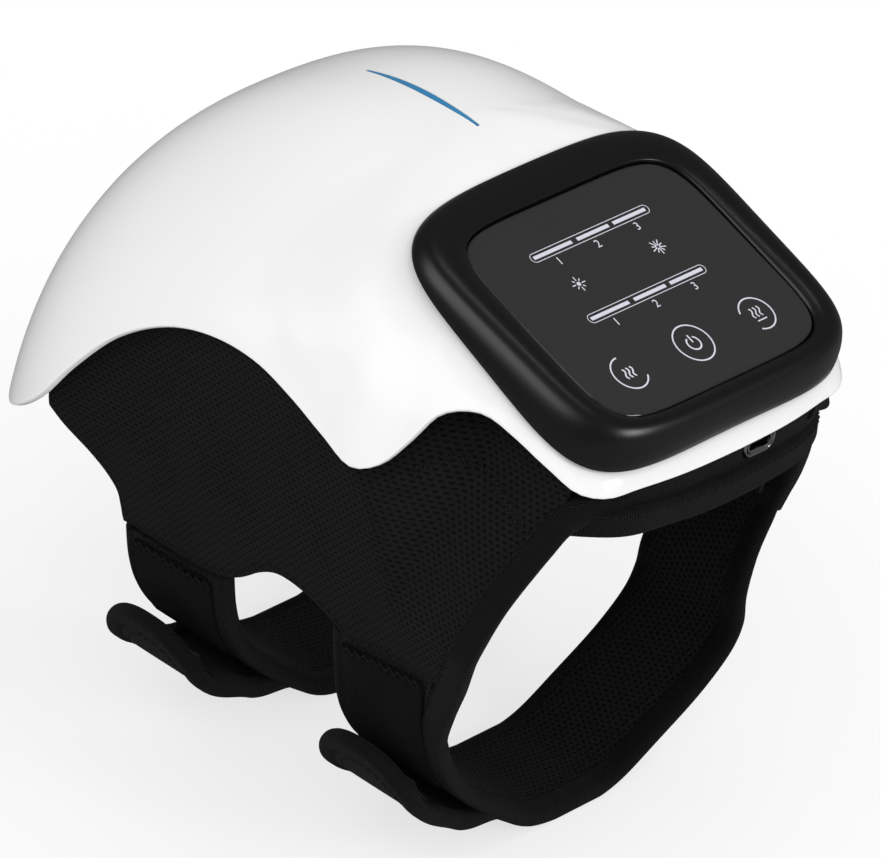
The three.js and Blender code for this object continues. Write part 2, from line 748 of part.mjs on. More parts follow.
function linerGrid(grow) {
  const frontY = flapY + coverThickness + 2 * fit;
  const rearY = linerRearY;
  return grid(linerRows, linerColumns, (down, over) => {
    const angle = Math.PI * over;
    const low = Math.abs(Math.cos(angle)) ** archSharpness;
    const front = THREE.MathUtils.lerp(frontY, coverFront(linerBottomZ) + fit, low);
    const rear = THREE.MathUtils.lerp(rearY, coverRear(linerBottomZ) - fit, low);
    return lean(archPoint(THREE.MathUtils.lerp(front, rear, down), angle, grow));
  });
}

// Lamp opening through liner, heater and frame
function lampBore(radius) {
  const place = new THREE.Vector3(0, lampY, tunnelCrown(lampY));
  return toSolid(rod(radius, 2 * (linerThickness + lampRadius), place, upright, 0, roundSides));
}

const linerSolid = toSolid(sheet(linerGrid(linerThickness), linerGrid(0)));
const padGap = 0.7;
const heaterBase = linerThickness + padGap;
const frameBase = heaterBase + heaterThickness + padGap;
const heaterFrontShare = 0.14;
const heaterRearShare = 0.66;
const heaterStartShare = 0.2;
const heaterRows = 8;
const heaterColumns = 12;

function archSheet(base, thickness, frontY, rearY, startShare, rows, columns) {
  const surface = (grow) => grid(rows, columns, (down, over) => {
    const y = THREE.MathUtils.lerp(frontY, rearY, down);
    const start = startShare(y);
    return archPoint(y, Math.PI * THREE.MathUtils.lerp(start, 1 - start, over), grow);
  });
  return toSolid(sheet(surface(base + thickness), surface(base)));
}

const heaterSheet = archSheet(
  heaterBase,
  heaterThickness,
  heaterFrontShare * shellLength,
  heaterRearShare * shellLength,
  () => heaterStartShare,
  heaterRows,
  heaterColumns,
);

// Inner frame: a curved base plate with saddles, pillars and screw bosses
const frameFrontShare = 0.31;
const frameSideShare = 0.21;
const frameWidenShare = 0.2;
const frameWiden = (y) => smooth(0, frameWidenShare * shellLength, y);
const frameStart = (y) => THREE.MathUtils.lerp(frameFrontShare, frameSideShare, frameWiden(y));
const frameRows = 12;
const frameColumns = 14;
const framePlate = archSheet(
  frameBase,
  frameWall,
  frameFrontY,
  frameRearY,
  frameStart,
  frameRows,
  frameColumns,
);
const underFrame = archSheet(
  frameBase - loopHalfWidth / 2,
  (loopHalfWidth + frameWall) / 2,
  frameFrontY - overrun,
  frameRearY + overrun,
  () => 0,
  frameRows,
  frameColumns,
);

const cellPlaces = [
  new THREE.Vector3(0, cellFirstY, cellFirstZ),
  new THREE.Vector3(0, cellFirstY + cellPitch, cellSecondZ),
];
const motorPlaces = [-1, 1].map((side) => new THREE.Vector3(side * motorX, motorY, motorZ));
const saddleDepth = 3 * motorRadius;

function frameTop(x, y) {
  const half = linerOuterHalf - linerThickness + frameBase + frameWall;
  const c = Math.min(Math.abs(x) / half, 1) ** (linerPower / 2);
  return archPoint(y, Math.acos(c), frameBase + frameWall).z;
}

function saddle(place, width, length, radius, axisAlongX) {
  const block = box(width, length, saddleDepth, place.clone().setZ(place.z - saddleDepth / 2 - radius / 2));
  const turn = axisAlongX ? upright : 0;
  const bore = rod(radius + fit, width + length, place, 0, turn, roundSides);
  return toSolid(block).subtract(toSolid(bore));
}

// Main board on four pillars square to the panel
const pillarInset = bossRadius + fit;

function tiltedBox(width, length, height, across, down, out) {
  const geometry = new THREE.BoxGeometry(width, length, height);
  geometry.rotateX(tilt);
  const place = onPanel(across, down, out);
  geometry.translate(place.x, place.y, place.z);
  return geometry;
}

function boardPillar(across, down) {
  const top = mainBoardOut - boardThickness / 2 - fit;
  const length = 4 * bossRadius;
  const place = onPanel(across, down, top - length / 2);
  return toSolid(rod(bossRadius, length, place, upright + tilt, 0, roundSides));
}

// Screw bosses hang from the shell down to the frame; the screws come up through the frame
const bossShares = [[-0.63, 0.264], [0.63, 0.264], [-0.43, 0.66], [0.43, 0.66]];
const bossPlaces = bossShares.map(([x, y]) => {
  const place = new THREE.Vector3(x * linerOuterHalf, y * shellLength, 0);
  const uphill = Math.abs(place.x) - bossRadius;
  const top = Math.max(frameTop(uphill, place.y - bossRadius), frameTop(uphill, place.y + bossRadius));
  return place.setZ(top + 2 * fit);
});
const bossNames = ['front_left', 'front_right', 'rear_left', 'rear_right'];
const bossHeight = domeTopZ - flapBottomZ;

function bossRod(place, radius) {
  const middle = place.clone().setZ(place.z + bossHeight / 2);
  return toSolid(rod(radius, bossHeight, middle, upright, 0, roundSides));
}

function screwBore(place, grow) {
  const low = place.z - frameWall - frameBase;
  const high = place.z + screwGrip;
  const middle = place.clone().setZ((low + high) / 2);
  return toSolid(rod(screwRadius + grow, high - low + grow, middle, upright, 0, roundSides));
}

function screwSolid(place) {
  const headTop = frameTop(place.x, place.y) - frameWall - overrun / 2;
  const shankTop = place.z + screwGrip - fit;
  const shankFoot = headTop - screwHeadHeight / 2;
  const shankMiddle = place.clone().setZ((shankTop + shankFoot) / 2);
  const shank = rod(screwRadius, shankTop - shankFoot, shankMiddle, upright, 0, roundSides);
  const headMiddle = place.clone().setZ(headTop - screwHeadHeight / 2);
  const head = rod(screwHeadRadius, screwHeadHeight, headMiddle, upright, 0, roundSides);
  return toSolid(shank).add(toSolid(head));
}

// A pocket under the frame that lets a screw head sit clear of heater and liner
function screwPocket(place) {
  const headTop = frameTop(place.x, place.y) - frameWall - overrun / 2 + fit;
  const depth = screwHeadHeight + 2 * fit;
  const middle = place.clone().setZ(headTop - depth / 2);
  return toSolid(rod(screwHeadRadius + 2 * fit, depth, middle, upright, 0, roundSides));
}

// Pad and window of the lamp
const lampCrown = tunnelCrown(lampY);
const lampPadTop = lampCrown + frameBase + frameWall + lampPadRise;

function lampDisc(radius, low, high) {
  const place = new THREE.Vector3(0, lampY, (low + high) / 2);
  return toSolid(rod(radius, high - low, place, upright, 0, 2 * roundSides));
}

function lampWindow() {
  const low = lampCrown + heaterThickness;
  const flangeLow = lampPadTop + fit;
  const high = flangeLow + lampFlangeThickness;
  const cavity = lampDisc(lampRadius - lampCupWall, low + lampCupWall, high + overrun);
  const flange = lampDisc(lampRadius + lampFlange, flangeLow, high);
  return toGeometry(lampDisc(lampRadius, low, high).add(flange).subtract(cavity));
}

const lampBoardLow = lampPadTop + lampFlangeThickness + 2 * fit;

function emitter(turn) {
  const angle = turn * 2 * Math.PI;
  const high = lampBoardLow - fit;
  const place = new THREE.Vector3(
    emitterCircle * Math.sin(angle),
    lampY + emitterCircle * Math.cos(angle),
    high - emitterHeight / 2,
  );
  return rod(emitterRadius, emitterHeight, place, upright, 0, roundSides);
}

// Vibration motors, their clips and off-balance weights
function motorRod(place, radius, fromY, toY) {
  return toSolid(rod(radius, toY - fromY, place.clone().setY((fromY + toY) / 2), 0, 0, roundSides));
}

const motorEndY = motorY + motorLength / 2;
const shaftDepthShare = 0.4;
const shaftStartY = motorEndY - shaftDepthShare * motorLength;

function motorCan(place) {
  const can = motorRod(place, motorRadius, motorY - motorLength / 2, motorEndY);
  return toGeometry(can.subtract(motorRod(place, shaftRadius + fit, shaftStartY - fit, motorEndY + overrun)));
}

function motorWeight(place) {
  const weightStart = motorEndY + shaftLength - weightThickness;
  const disc = motorRod(place, weightRadius, weightStart, motorEndY + shaftLength);
  const half = box(2 * weightRadius, 2 * weightThickness, 2 * weightRadius, new THREE.Vector3(
    place.x,
    motorEndY + shaftLength,
    place.z + weightRadius,
  ));
  const shaft = motorRod(place, shaftRadius, shaftStartY, motorEndY + shaftLength);
  return toGeometry(disc.subtract(toSolid(half)).add(shaft));
}

const motorSeatWidth = 2 * (motorRadius + clipFoot + fit);

function motorClip(place) {
  const seat = place.z - motorRadius / 2 + fit;
  const inner = motorRadius + fit;
  const outer = inner + clipThickness;
  const [low, high] = [motorY - clipWidth / 2, motorY + clipWidth / 2];
  const under = box(3 * motorRadius, 2 * clipWidth, 3 * motorRadius, new THREE.Vector3(
    place.x,
    motorY,
    seat - 3 * motorRadius / 2,
  ));
  const feetPlace = new THREE.Vector3(place.x, motorY, seat + clipThickness / 2);
  const feet = box(motorSeatWidth, clipWidth, clipThickness, feetPlace);
  const band = motorRod(place, outer, low, high).subtract(toSolid(under)).add(toSolid(feet));
  return toGeometry(band.subtract(motorRod(place, inner, low - overrun, high + overrun)));
}

function cellSolid(place) {
  const can = rod(cellRadius, cellLength, place, 0, upright, roundSides);
  const capX = (cellLength + cellCapHeight) / 2;
  const cap = rod(cellCapRadius, cellCapHeight + fit, place.clone().setX(capX), 0, upright, roundSides);
  return toGeometry(toSolid(can).add(toSolid(cap)));
}

// Main board with its chips and connector, and the buzzer that stands on it
const chipShares = [
  [-0.2, -0.1, 0.2, 0.24], [0.24, -0.22, 0.14, 0.16], [-0.3, 0.26, 0.16, 0.14], [0.12, 0.28, 0.3, 0.12],
];
const chipHeight = 1.6;
const buzzerRadius = 4.5;
const buzzerHeight = 3;
const buzzerAcrossShare = 0.3;
const buzzerDownShare = 0.1;

function mainBoard() {
  const centre = [0, mainBoardCentreDown, mainBoardOut];
  let board = toSolid(tiltedBox(mainBoardWidth, mainBoardLength, boardThickness, ...centre));
  chipShares.forEach(([across, down, width, length]) => {
    board = board.add(toSolid(tiltedBox(
      width * mainBoardWidth,
      length * mainBoardLength,
      chipHeight + boardThickness / 2,
      across * mainBoardWidth,
      mainBoardCentreDown + down * mainBoardLength,
      mainBoardOut + (chipHeight + boardThickness / 2) / 2,
    )));
  });
  return toGeometry(board);
}

function buzzer() {
  const out = mainBoardOut + boardThickness / 2 + fit + buzzerHeight / 2;
  const down = mainBoardCentreDown + buzzerDownShare * mainBoardLength;
  const place = onPanel(buzzerAcrossShare * mainBoardWidth, down, out);
  return rod(buzzerRadius, buzzerHeight, place, upright + tilt, 0, roundSides);
}

// Front flap with the port, seen from the front as slots with round ends
const portSides = 6;

function slotRod(halfWidth, halfHeight, fromY, toY) {
  const shape = new THREE.Shape();
  const run = halfWidth - halfHeight;
  shape.absarc(run, 0, halfHeight, -upright, upright, false);
  shape.absarc(-run, 0, halfHeight, upright, 3 * upright, false);
  const geometry = new THREE.ExtrudeGeometry(shape, {
    depth: toY - fromY,
    bevelEnabled: false,
    curveSegments: portSides,
  });
  geometry.rotateX(upright);
  geometry.translate(portX, toY, portZ);
  return toSolid(geometry);
}

const flapRows = 6;
const flapColumns = 16;
const flapTurnPower = 3;

function flapGrid(depth) {
  return grid(flapRows, flapColumns, (down, over) => {
    const across = 2 * over - 1;
    const y = flapY - flapBulge * Math.sin(Math.PI * down) + flapTurn * Math.abs(across) ** flapTurnPower;
    const z = THREE.MathUtils.lerp(flapTopZ, flapBottomZ, down);
    return new THREE.Vector3(across * flapHalfWidth, y + depth, z);
  });
}

const socketHalfWidth = portHalfWidth + portWall;
const socketHalfHeight = portHalfHeight + portWall;
const surroundHalfWidth = socketHalfWidth + fit + portRim;
const surroundHalfHeight = socketHalfHeight + fit + portRim;
const portFaceY = flapY - flapBulge - fit;
const portRearY = portFaceY + portDepth;
const tongueShare = 0.7;
const tongueHeightShare = 0.36;

function frontFlap() {
  const holeEndY = flapY + 2 * coverThickness;
  const hole = slotRod(surroundHalfWidth + fit, surroundHalfHeight + fit, flapY - overrun, holeEndY);
  return toGeometry(toSolid(sheet(flapGrid(0), flapGrid(coverThickness))).subtract(hole));
}

function portSurround() {
  const body = slotRod(surroundHalfWidth, surroundHalfHeight, portFaceY - fit, portFaceY + portRimDepth);
  return toGeometry(body.subtract(slotRod(
    socketHalfWidth + fit,
    socketHalfHeight + fit,
    portFaceY - overrun,
    portFaceY + 2 * portRimDepth,
  )));
}

function usbSocket() {
  const body = slotRod(socketHalfWidth, socketHalfHeight, portFaceY, portRearY);
  const cavity = slotRod(portHalfWidth, portHalfHeight, portFaceY - overrun, portRearY - portRim);
  const tongue = box(
    2 * tongueShare * portHalfWidth,
    portDepth - portRim,
    2 * tongueHeightShare * portHalfHeight,
    new THREE.Vector3(portX, portRearY - (portDepth - portRim) / 2, portZ),
  );
  return toGeometry(body.subtract(cavity).add(toSolid(tongue)));
}

const chargeBoardHalfWidth = 11;
const chargeBoardHeight = 8.4;
const chargeBoardBottomZ = -29;

function chargeBoard() {
  const middleZ = chargeBoardBottomZ + chargeBoardHeight / 2;
  const place = new THREE.Vector3(portX, portRearY + fit + boardThickness / 2, middleZ);
  return box(2 * chargeBoardHalfWidth, boardThickness, chargeBoardHeight, place);
}

// Bindings sewn over the front and rear edges of the cloth
const bindingBottomZ = -84;
const bindingTopZ = -48;
const bindingRun = 5;
const bindingTurnShares = [[0.765, -0.061, -0.2646], [0.642, -0.0773, -0.253], [0.49, -0.0855, -0.2506]];
const bindingFrontZ = flapBottomZ - fit - bindingRadius;
const bindingSteps = 44;
const bindingSides = 8;
const bindingHalf = coverThickness / 2;

function frontBinding() {
  const half = Array.from({ length: bindingRun + 1 }, (_, k) => {
    const z = THREE.MathUtils.lerp(bindingBottomZ, bindingTopZ, k / bindingRun);
    const y = coverFront(z);
    return new THREE.Vector3(coverHalf(y, z) - bindingHalf, y - bindingRadius - 3 * fit, z);
  });
  bindingTurnShares.forEach(([x, y, z]) => {
    half.push(new THREE.Vector3(x * loopHalfWidth, y * shellLength, z * loopDepth));
  });
  const middle = new THREE.Vector3(0, flapY, bindingFrontZ);
  const mirrored = half.map((p) => new THREE.Vector3(-p.x, p.y, p.z)).reverse();
  return tube([...half, middle, ...mirrored].map(lean), bindingRadius, bindingSteps, bindingSides);
}

const rearBindingRun = 18;
const rearBindingStartShare = 0.06;

function rearBinding() {
  const rearY = linerRearY;
  const points = Array.from({ length: rearBindingRun + 1 }, (_, k) => {
    const share = THREE.MathUtils.lerp(rearBindingStartShare, 1 - rearBindingStartShare, k / rearBindingRun);
    const angle = Math.PI * share;
    const low = Math.abs(Math.cos(angle)) ** archSharpness;
    const edge = archPoint(rearY, angle, linerThickness);
    const y = Math.max(
      THREE.MathUtils.lerp(rearY, coverRear(linerBottomZ), low),
      Math.abs(edge.x) > linerOuterHalf / 2 ? coverRear(edge.z) : 0,
    );
    return edge.setY(y + bindingRadius + 3 * fit);
  });
  return tube(points, bindingRadius, bindingSteps, bindingSides);
}

// Loop round the leg, from the right seam under the leg to the left, measured along its outside
const seamTopZ = -84;
const loopSamples = 160;
const rightLoopShares = [
  [-0.532, 0.965], [-0.566, 0.94], [-0.633, 0.855], [-0.7, 0.795], [-0.755, 0.785],
  [-0.805, 0.745], [-0.867, 0.62], [-0.937, 0.4], [-0.985, 0.23], [-1, 0.12], [-1, 0],
];
const leftLoopShares = [
  [-1, -0.12],
  [-0.985, -0.26],
  [-0.945, -0.4],
  [-0.9, -0.53],
  [-0.853, -0.65],
  [-0.805, -0.75],
  [-0.75, -0.83],
  [-0.69, -0.885],
  [-0.62, -0.925],
  [-0.575, -0.946],
  [-0.532, -0.965],
];
const loopCurve = new THREE.CatmullRomCurve3(
  [...rightLoopShares, ...leftLoopShares].map(([z, x]) => (
    new THREE.Vector3(x * loopHalfWidth, 0, z * loopDepth))),
  false,
  'centripetal',
);
const loopLine = loopCurve.getSpacedPoints(loopSamples).map((p) => p.setZ(Math.max(p.z, -loopDepth)));

function onLoop(share, offset) {
  const at = THREE.MathUtils.clamp(share, 0, 1) * loopSamples;
  const k = Math.min(Math.floor(at), loopSamples - 1);
  const point = loopLine[k].clone().lerp(loopLine[k + 1], at - k);
  const run = loopLine[Math.min(k + 2, loopSamples)].clone().sub(loopLine[Math.max(k - 1, 0)]);
  const away = new THREE.Vector3(-run.z, 0, run.x).normalize();
  return point.addScaledVector(away, away.dot(point.clone().setZ(point.z - seamTopZ)) < 0 ? -offset : offset);
}

function shareAtHeight(z) {
  let share = 0;
  while (onLoop(share, 0).z > z) {
    share += 1 / (2 * loopSamples);
  }
  return share;
}

const strapColumns = 4;

// A band on the loop: start and end give its shares of the loop at each place across its width
function band({ centreY, width, start, end, rows, offset, thickness, tip }) {
  const surface = (face) => grid(rows, strapColumns, (run, over) => {
    const y = centreY + (over - 1 / 2) * width;
    const share = THREE.MathUtils.lerp(start(y), end(y), run);
    const closing = tip ? smooth(1 - tip, 1, run) : 0;
    const narrowed = 1 - tipNarrowShare * closing * closing;
    const point = onLoop(share, offset(share) + face * thickness);
    return point.setY(centreY + (over - 1 / 2) * width * narrowed);
  });
  return sheet(surface(1), surface(0));
}

const tipNarrowShare = 0.4;
const strapEndShare = 0.74;
const extensionShare = 0.752;
const patchStartShare = 0.79;
const patchEndShare = 0.985;
const hookStartShare = 0.8;
const hookEndShare = 0.845;
const tabStartShare = 0.655;
const tabRampShare = 0.7;
const tabRampEndShare = 0.785;
const tabEndShare = 0.895;
const tabTip = 0.22;
const patchOffset = fit;
const hookOffset = patchOffset + patchThickness + fit;
const tabOffset = hookOffset + patchThickness + fit;
const tabTipLift = 1.6;
const tabTipStartShare = 0.81;
const tabRise = (share) => THREE.MathUtils.lerp(fit, tabOffset, smooth(tabRampShare, tabRampEndShare, share))
  + tabTipLift * smooth(tabTipStartShare, tabEndShare, share);

function addStrap(name, centreY, seamGap) {
  const top = (y) => shareAtHeight(bottomEdge(y) - seamGap);
  const always = (value) => () => value;
  const patchWidth = strapWidth - 2 * patchMargin;
  const full = { centreY, width: strapWidth, thickness: strapThickness, offset: always(-strapThickness) };
  addPiece(`${name}_strap`, band({ ...full, start: top, end: always(strapEndShare), rows: 26 }), looks.mesh);
  addPiece(
    `${name}_strap_root`,
    band({ ...full, start: always(extensionShare), end: (y) => 1 - top(y), rows: 12 }),
    looks.mesh,
  );
  addPiece(`${name}_loop_patch`, band({
    centreY,
    width: patchWidth,
    start: always(patchStartShare),
    end: (y) => Math.min(patchEndShare, 1 - top(y) - 1 / loopSamples),
    rows: 10,
    offset: always(patchOffset),
    thickness: patchThickness,
  }), looks.fleece);
  addPiece(`${name}_hook_patch`, band({
    centreY,
    width: patchWidth,
    start: always(hookStartShare),
    end: always(hookEndShare),
    rows: 6,
    offset: always(hookOffset),
    thickness: patchThickness,
  }), looks.hook);
  addPiece(`${name}_tab`, band({
    centreY,
    width: strapWidth,
    start: always(tabStartShare),
    end: always(tabEndShare),
    rows: 20,
    offset: tabRise,
    thickness: tabThickness,
    tip: tabTip,
  }), looks.mesh);
}

// Outer shell: dome skin, panel opening, inlay slot and screw bosses
const shellVolume = toSolid(loftRings([...shellRings(-shellWall / 2)].reverse(), false));
const panelDepth = domeTopZ + bezelHalfHeight;
const panelCut = toSolid(plateOnPanel(skirtHalfWidth + fit, skirtHalfHeight + fit, domeTopZ, panelDepth));
const slotCut = toSolid(inlayBar(fit, overrun, -shellWall - overrun));
let outerShell = toSolid(domeSkin()).subtract(panelCut).subtract(slotCut);
bossPlaces.forEach((place) => {
  const boss = bossRod(place, bossRadius).intersect(shellVolume).subtract(screwBore(place, fit));
  outerShell = outerShell.add(boss);
});
addPiece('outer_shell', toGeometry(outerShell), looks.gloss);
addPiece('accent_inlay', inlayBar(0, 0, -shellWall), looks.blue);
addPiece('accent_lamp_board', inlayBoard(), looks.board);

// Touch panel
addPiece('panel_bezel', bezelSolid(), looks.blackGloss);
addPiece('touch_glass', plateOnPanel(glassHalfWidth, glassHalfHeight, 0, glassThickness), looks.glass);
addPiece('light_guide', lightGuide(), looks.white);
addPiece(
  'panel_board',
  plateOnPanel(glassHalfWidth, glassHalfHeight, panelBoardOut, boardThickness),
  looks.board,
);
['left', 'middle', 'right'].forEach((name, k) => {
  addPiece(`key_spring_${name}`, keySpring(keyPlaces[k]), looks.metal);
});

// Inner frame
let fittings = lampDisc(lampRadius + lampFlange + lampPadRise, lampCrown - lampRadius, lampPadTop);
const cellSaddleX = cellLength / 2 - saddleLength;
cellPlaces.forEach((place) => {
  [-cellSaddleX, cellSaddleX].forEach((x) => {
    const under = place.clone().setX(x);
    fittings = fittings.add(saddle(under, saddleLength, 2 * cellRadius - fit, cellRadius, true));
  });
});
motorPlaces.forEach((place) => {
  fittings = fittings.add(saddle(place, motorSeatWidth, motorLength - overrun, motorRadius, false));
});
const pillarAcross = mainBoardWidth / 2 - pillarInset;
const pillarDown = mainBoardLength / 2 - pillarInset;
[-pillarAcross, pillarAcross].forEach((across) => {
  [-pillarDown, pillarDown].forEach((down) => {
    fittings = fittings.add(boardPillar(across, mainBoardCentreDown + down));
  });
});
let frame = framePlate.add(fittings.subtract(underFrame)).subtract(lampBore(lampRadius + fit));
let heater = heaterSheet.subtract(lampBore(lampRadius + fit));
let liner = linerSolid.subtract(lampBore(lampRadius + fit));
bossPlaces.forEach((place) => {
  frame = frame.subtract(screwBore(place, fit)).subtract(screwPocket(place));
  heater = heater.subtract(screwBore(place, fit)).subtract(screwPocket(place));
  liner = liner.subtract(screwPocket(place));
});
addPiece('inner_frame', toGeometry(frame), looks.greyPlastic);
addPiece('heating_pad', toGeometry(heater), looks.heater);
addPiece('knee_liner', toGeometry(liner), looks.mesh);
bossPlaces.forEach((place, k) => {
  addPiece(`shell_screw_${bossNames[k]}`, toGeometry(screwSolid(place)), looks.metal);
});

// Electronics and drives
addPiece('main_board', mainBoard(), looks.board);
addPiece('buzzer', buzzer(), looks.greyPlastic);
cellPlaces.forEach((place, k) => {
  addPiece(`battery_cell_${['front', 'rear'][k]}`, cellSolid(place), looks.cell);
});
motorPlaces.forEach((place, k) => {
  const side = ['left', 'right'][k];
  addPiece(`${side}_motor`, motorCan(place), looks.metal);
  addPiece(`${side}_motor_clip`, motorClip(place), looks.metal);
  addPiece(`${side}_motor_weight`, motorWeight(place), looks.brass);
});
addPiece('lamp_window', lampWindow(), looks.red);
addPiece('lamp_board', toGeometry(lampDisc(
  lampRadius + lampFlange,
  lampBoardLow,
  lampBoardLow + boardThickness,
)), looks.board);
const emitterTurns = [0, 1 / 3, 2 / 3];
emitterTurns.forEach((turn, k) => {
  addPiece(`lamp_emitter_${k + 1}`, emitter(turn), looks.metal);
});

// Charging port
addPiece('front_flap', frontFlap(), looks.mesh);
addPiece('port_surround', portSurround(), looks.metal);
addPiece('usb_socket', usbSocket(), looks.metal);
addPiece('charge_board', chargeBoard(), looks.board);

// Cover, bindings and straps
addPiece('side_cover_left', sideCover(-1), looks.mesh);
addPiece('side_cover_right', sideCover(1), looks.mesh);
addPiece('front_binding', frontBinding(), looks.tape);
addPiece('rear_binding', rearBinding(), looks.tape);
addStrap('thigh', thighStrapY, thighSeamGap);
addStrap('calf', calfStrapY, calfSeamGap);

// Stand the whole on the strap bottoms, with the middle of the shell over the origin
const rimYs = rimPoints.map((p) => p.y);
const shellMiddleY = (Math.max(...rimYs) + Math.min(...rimYs)) / 2;
knee.position.set(0, -shellMiddleY, loopDepth);

export default part;
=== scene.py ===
import math

import bpy
import numpy as np
from mathutils import Matrix, Vector


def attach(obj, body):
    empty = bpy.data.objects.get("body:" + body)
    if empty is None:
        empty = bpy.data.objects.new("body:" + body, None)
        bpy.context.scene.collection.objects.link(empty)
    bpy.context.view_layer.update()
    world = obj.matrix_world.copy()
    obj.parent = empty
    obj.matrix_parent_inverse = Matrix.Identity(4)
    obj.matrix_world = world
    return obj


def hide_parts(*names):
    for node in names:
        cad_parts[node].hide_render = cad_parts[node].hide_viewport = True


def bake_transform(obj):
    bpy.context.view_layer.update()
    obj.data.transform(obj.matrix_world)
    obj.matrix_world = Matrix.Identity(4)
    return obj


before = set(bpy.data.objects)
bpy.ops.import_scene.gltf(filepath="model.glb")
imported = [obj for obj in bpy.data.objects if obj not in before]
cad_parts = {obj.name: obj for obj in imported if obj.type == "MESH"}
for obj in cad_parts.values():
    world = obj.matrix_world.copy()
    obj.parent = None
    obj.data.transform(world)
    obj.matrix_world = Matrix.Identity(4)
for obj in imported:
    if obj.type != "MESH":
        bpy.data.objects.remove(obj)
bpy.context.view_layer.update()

MM = 0.001
MIDDLE_Y = 83.374
LOOP_DEPTH = 158.0
FIT = 0.3

# Camera, looking at the middle of the photo from the front left
KNEE_TO_CAMERA = Vector((-0.7125, -0.4868, 0.5055))
CAMERA_RIGHT = Vector((0.6365, -0.7515, 0.1735))
CAMERA_UP = Vector((0.2954, 0.4454, 0.8453))
CAMERA_DISTANCE = 2.52
CAMERA_AIM = (-0.02717, -0.00925)
CAMERA_REACH = 20
FOCAL_SHARE = 9316 / 881
SENSOR_WIDTH = 36.0


def add_camera():
    camera = bpy.data.objects.new("camera", bpy.data.cameras.new("camera"))
    bpy.context.collection.objects.link(camera)
    forward = (-KNEE_TO_CAMERA + CAMERA_AIM[0] * CAMERA_RIGHT + CAMERA_AIM[1] * CAMERA_UP).normalized()
    back = -forward
    right = (CAMERA_RIGHT - CAMERA_RIGHT.dot(back) * back).normalized()
    up = back.cross(right)
    turn = Matrix((right, up, back)).transposed().to_4x4()
    knee = Vector((0, -MIDDLE_Y, LOOP_DEPTH)) * MM
    camera.matrix_world = Matrix.Translation(knee + CAMERA_DISTANCE * KNEE_TO_CAMERA.normalized()) @ turn
    camera.data.sensor_width = SENSOR_WIDTH
    camera.data.lens = SENSOR_WIDTH * FOCAL_SHARE
    camera.data.clip_end = CAMERA_REACH
    bpy.context.scene.camera = camera


add_camera()


# Numbers and curves
def lerp(a, b, t):
    return a + (b - a) * t


def smooth(low, high, value):
    t = np.clip((np.asarray(value, float) - low) / (high - low), 0, 1)
    return t * t * (3 - 2 * t)


def read_curve(shares, first=1.0, second=1.0):
    at, value = (np.array(shares, float) * [first, second]).T
    slope = np.empty_like(value)
    slope[1:-1] = (value[2:] - value[:-2]) / (at[2:] - at[:-2])
    slope[0] = (value[1] - value[0]) / (at[1] - at[0])
    slope[-1] = (value[-1] - value[-2]) / (at[-1] - at[-2])

    def read(place):
        x = np.clip(np.asarray(place, float), at[0], at[-1])
        k = np.clip(np.searchsorted(at, x) - 1, 0, len(at) - 2)
        span = at[k + 1] - at[k]
        t = (x - at[k]) / span
        rise = t * t * (3 - 2 * t)
        return (value[k] * (1 - rise) + value[k + 1] * rise
                + span * t * (1 - t) * ((1 - t) * slope[k] - t * slope[k + 1]))

    return read


def spaced(points, count):
    """Points at equal distances along a run of points."""
    points = np.asarray(points, float)
    run = np.concatenate([[0], np.cumsum(np.linalg.norm(np.diff(points, axis=0), axis=1))])
    at = np.linspace(0, run[-1], count)
    return np.stack([np.interp(at, run, points[:, k]) for k in range(points.shape[1])], -1)


def smooth_line(points, count):
    """A smooth line through the points, as count points at equal distances."""
    p = np.asarray(points, float)
    p = np.vstack([2 * p[0] - p[1], p, 2 * p[-1] - p[-2]])
    step = np.sqrt(np.linalg.norm(np.diff(p, axis=0), axis=1))
    t = np.linspace(0, 1, 24, endpoint=False)[:, None]
    dense = []
    for k in range(1, len(p) - 2):
        a, b, c = step[k - 1:k + 2]
        out = ((p[k] - p[k - 1]) / a - (p[k + 1] - p[k - 1]) / (a + b) + (p[k + 1] - p[k]) / b) * b
        into = ((p[k + 1] - p[k]) / b - (p[k + 2] - p[k]) / (b + c) + (p[k + 2] - p[k + 1]) / c) * b
        dense.append((2 * t**3 - 3 * t**2 + 1) * p[k] + (t**3 - 2 * t**2 + t) * out
                     + (3 * t**2 - 2 * t**3) * p[k + 1] + (t**3 - t**2) * into)
    return spaced(np.vstack(dense + [p[-2]]), count)


def finer(values, times, closed):
    """Smooth values between the given ones along the first axis."""
    values = np.asarray(values, float)
    if closed:
        ends = np.concatenate([values[-1:], values, values[:2]])
    else:
        ends = np.concatenate([2 * values[:1] - values[1:2], values, 2 * values[-1:] - values[-2:-1]])
    pieces = []
    for k in range(1, len(ends) - 2):
        for t in np.arange(times) / times:
            a, b, c, d = ends[k - 1:k + 3]
            squared, cubed = 2 * a - 5 * b + 4 * c - d, 3 * b - a - 3 * c + d
            pieces.append(0.5 * (2 * b + (c - a) * t + squared * t**2 + cubed * t**3))
    if not closed:
        pieces.append(values[-1])
    return np.array(pieces)


def share_grid(rows, columns):
    """Shares from 0 to 1 down and over a grid of points."""
    return np.meshgrid(np.linspace(0, 1, rows + 1), np.linspace(0, 1, columns + 1), indexing="ij")


def unit(vectors):
    return vectors / np.maximum(np.linalg.norm(vectors, axis=-1, keepdims=True), 1e-9)


def placed(points):
    return (np.asarray(points, float) - [0, MIDDLE_Y, -LOOP_DEPTH]) * MM


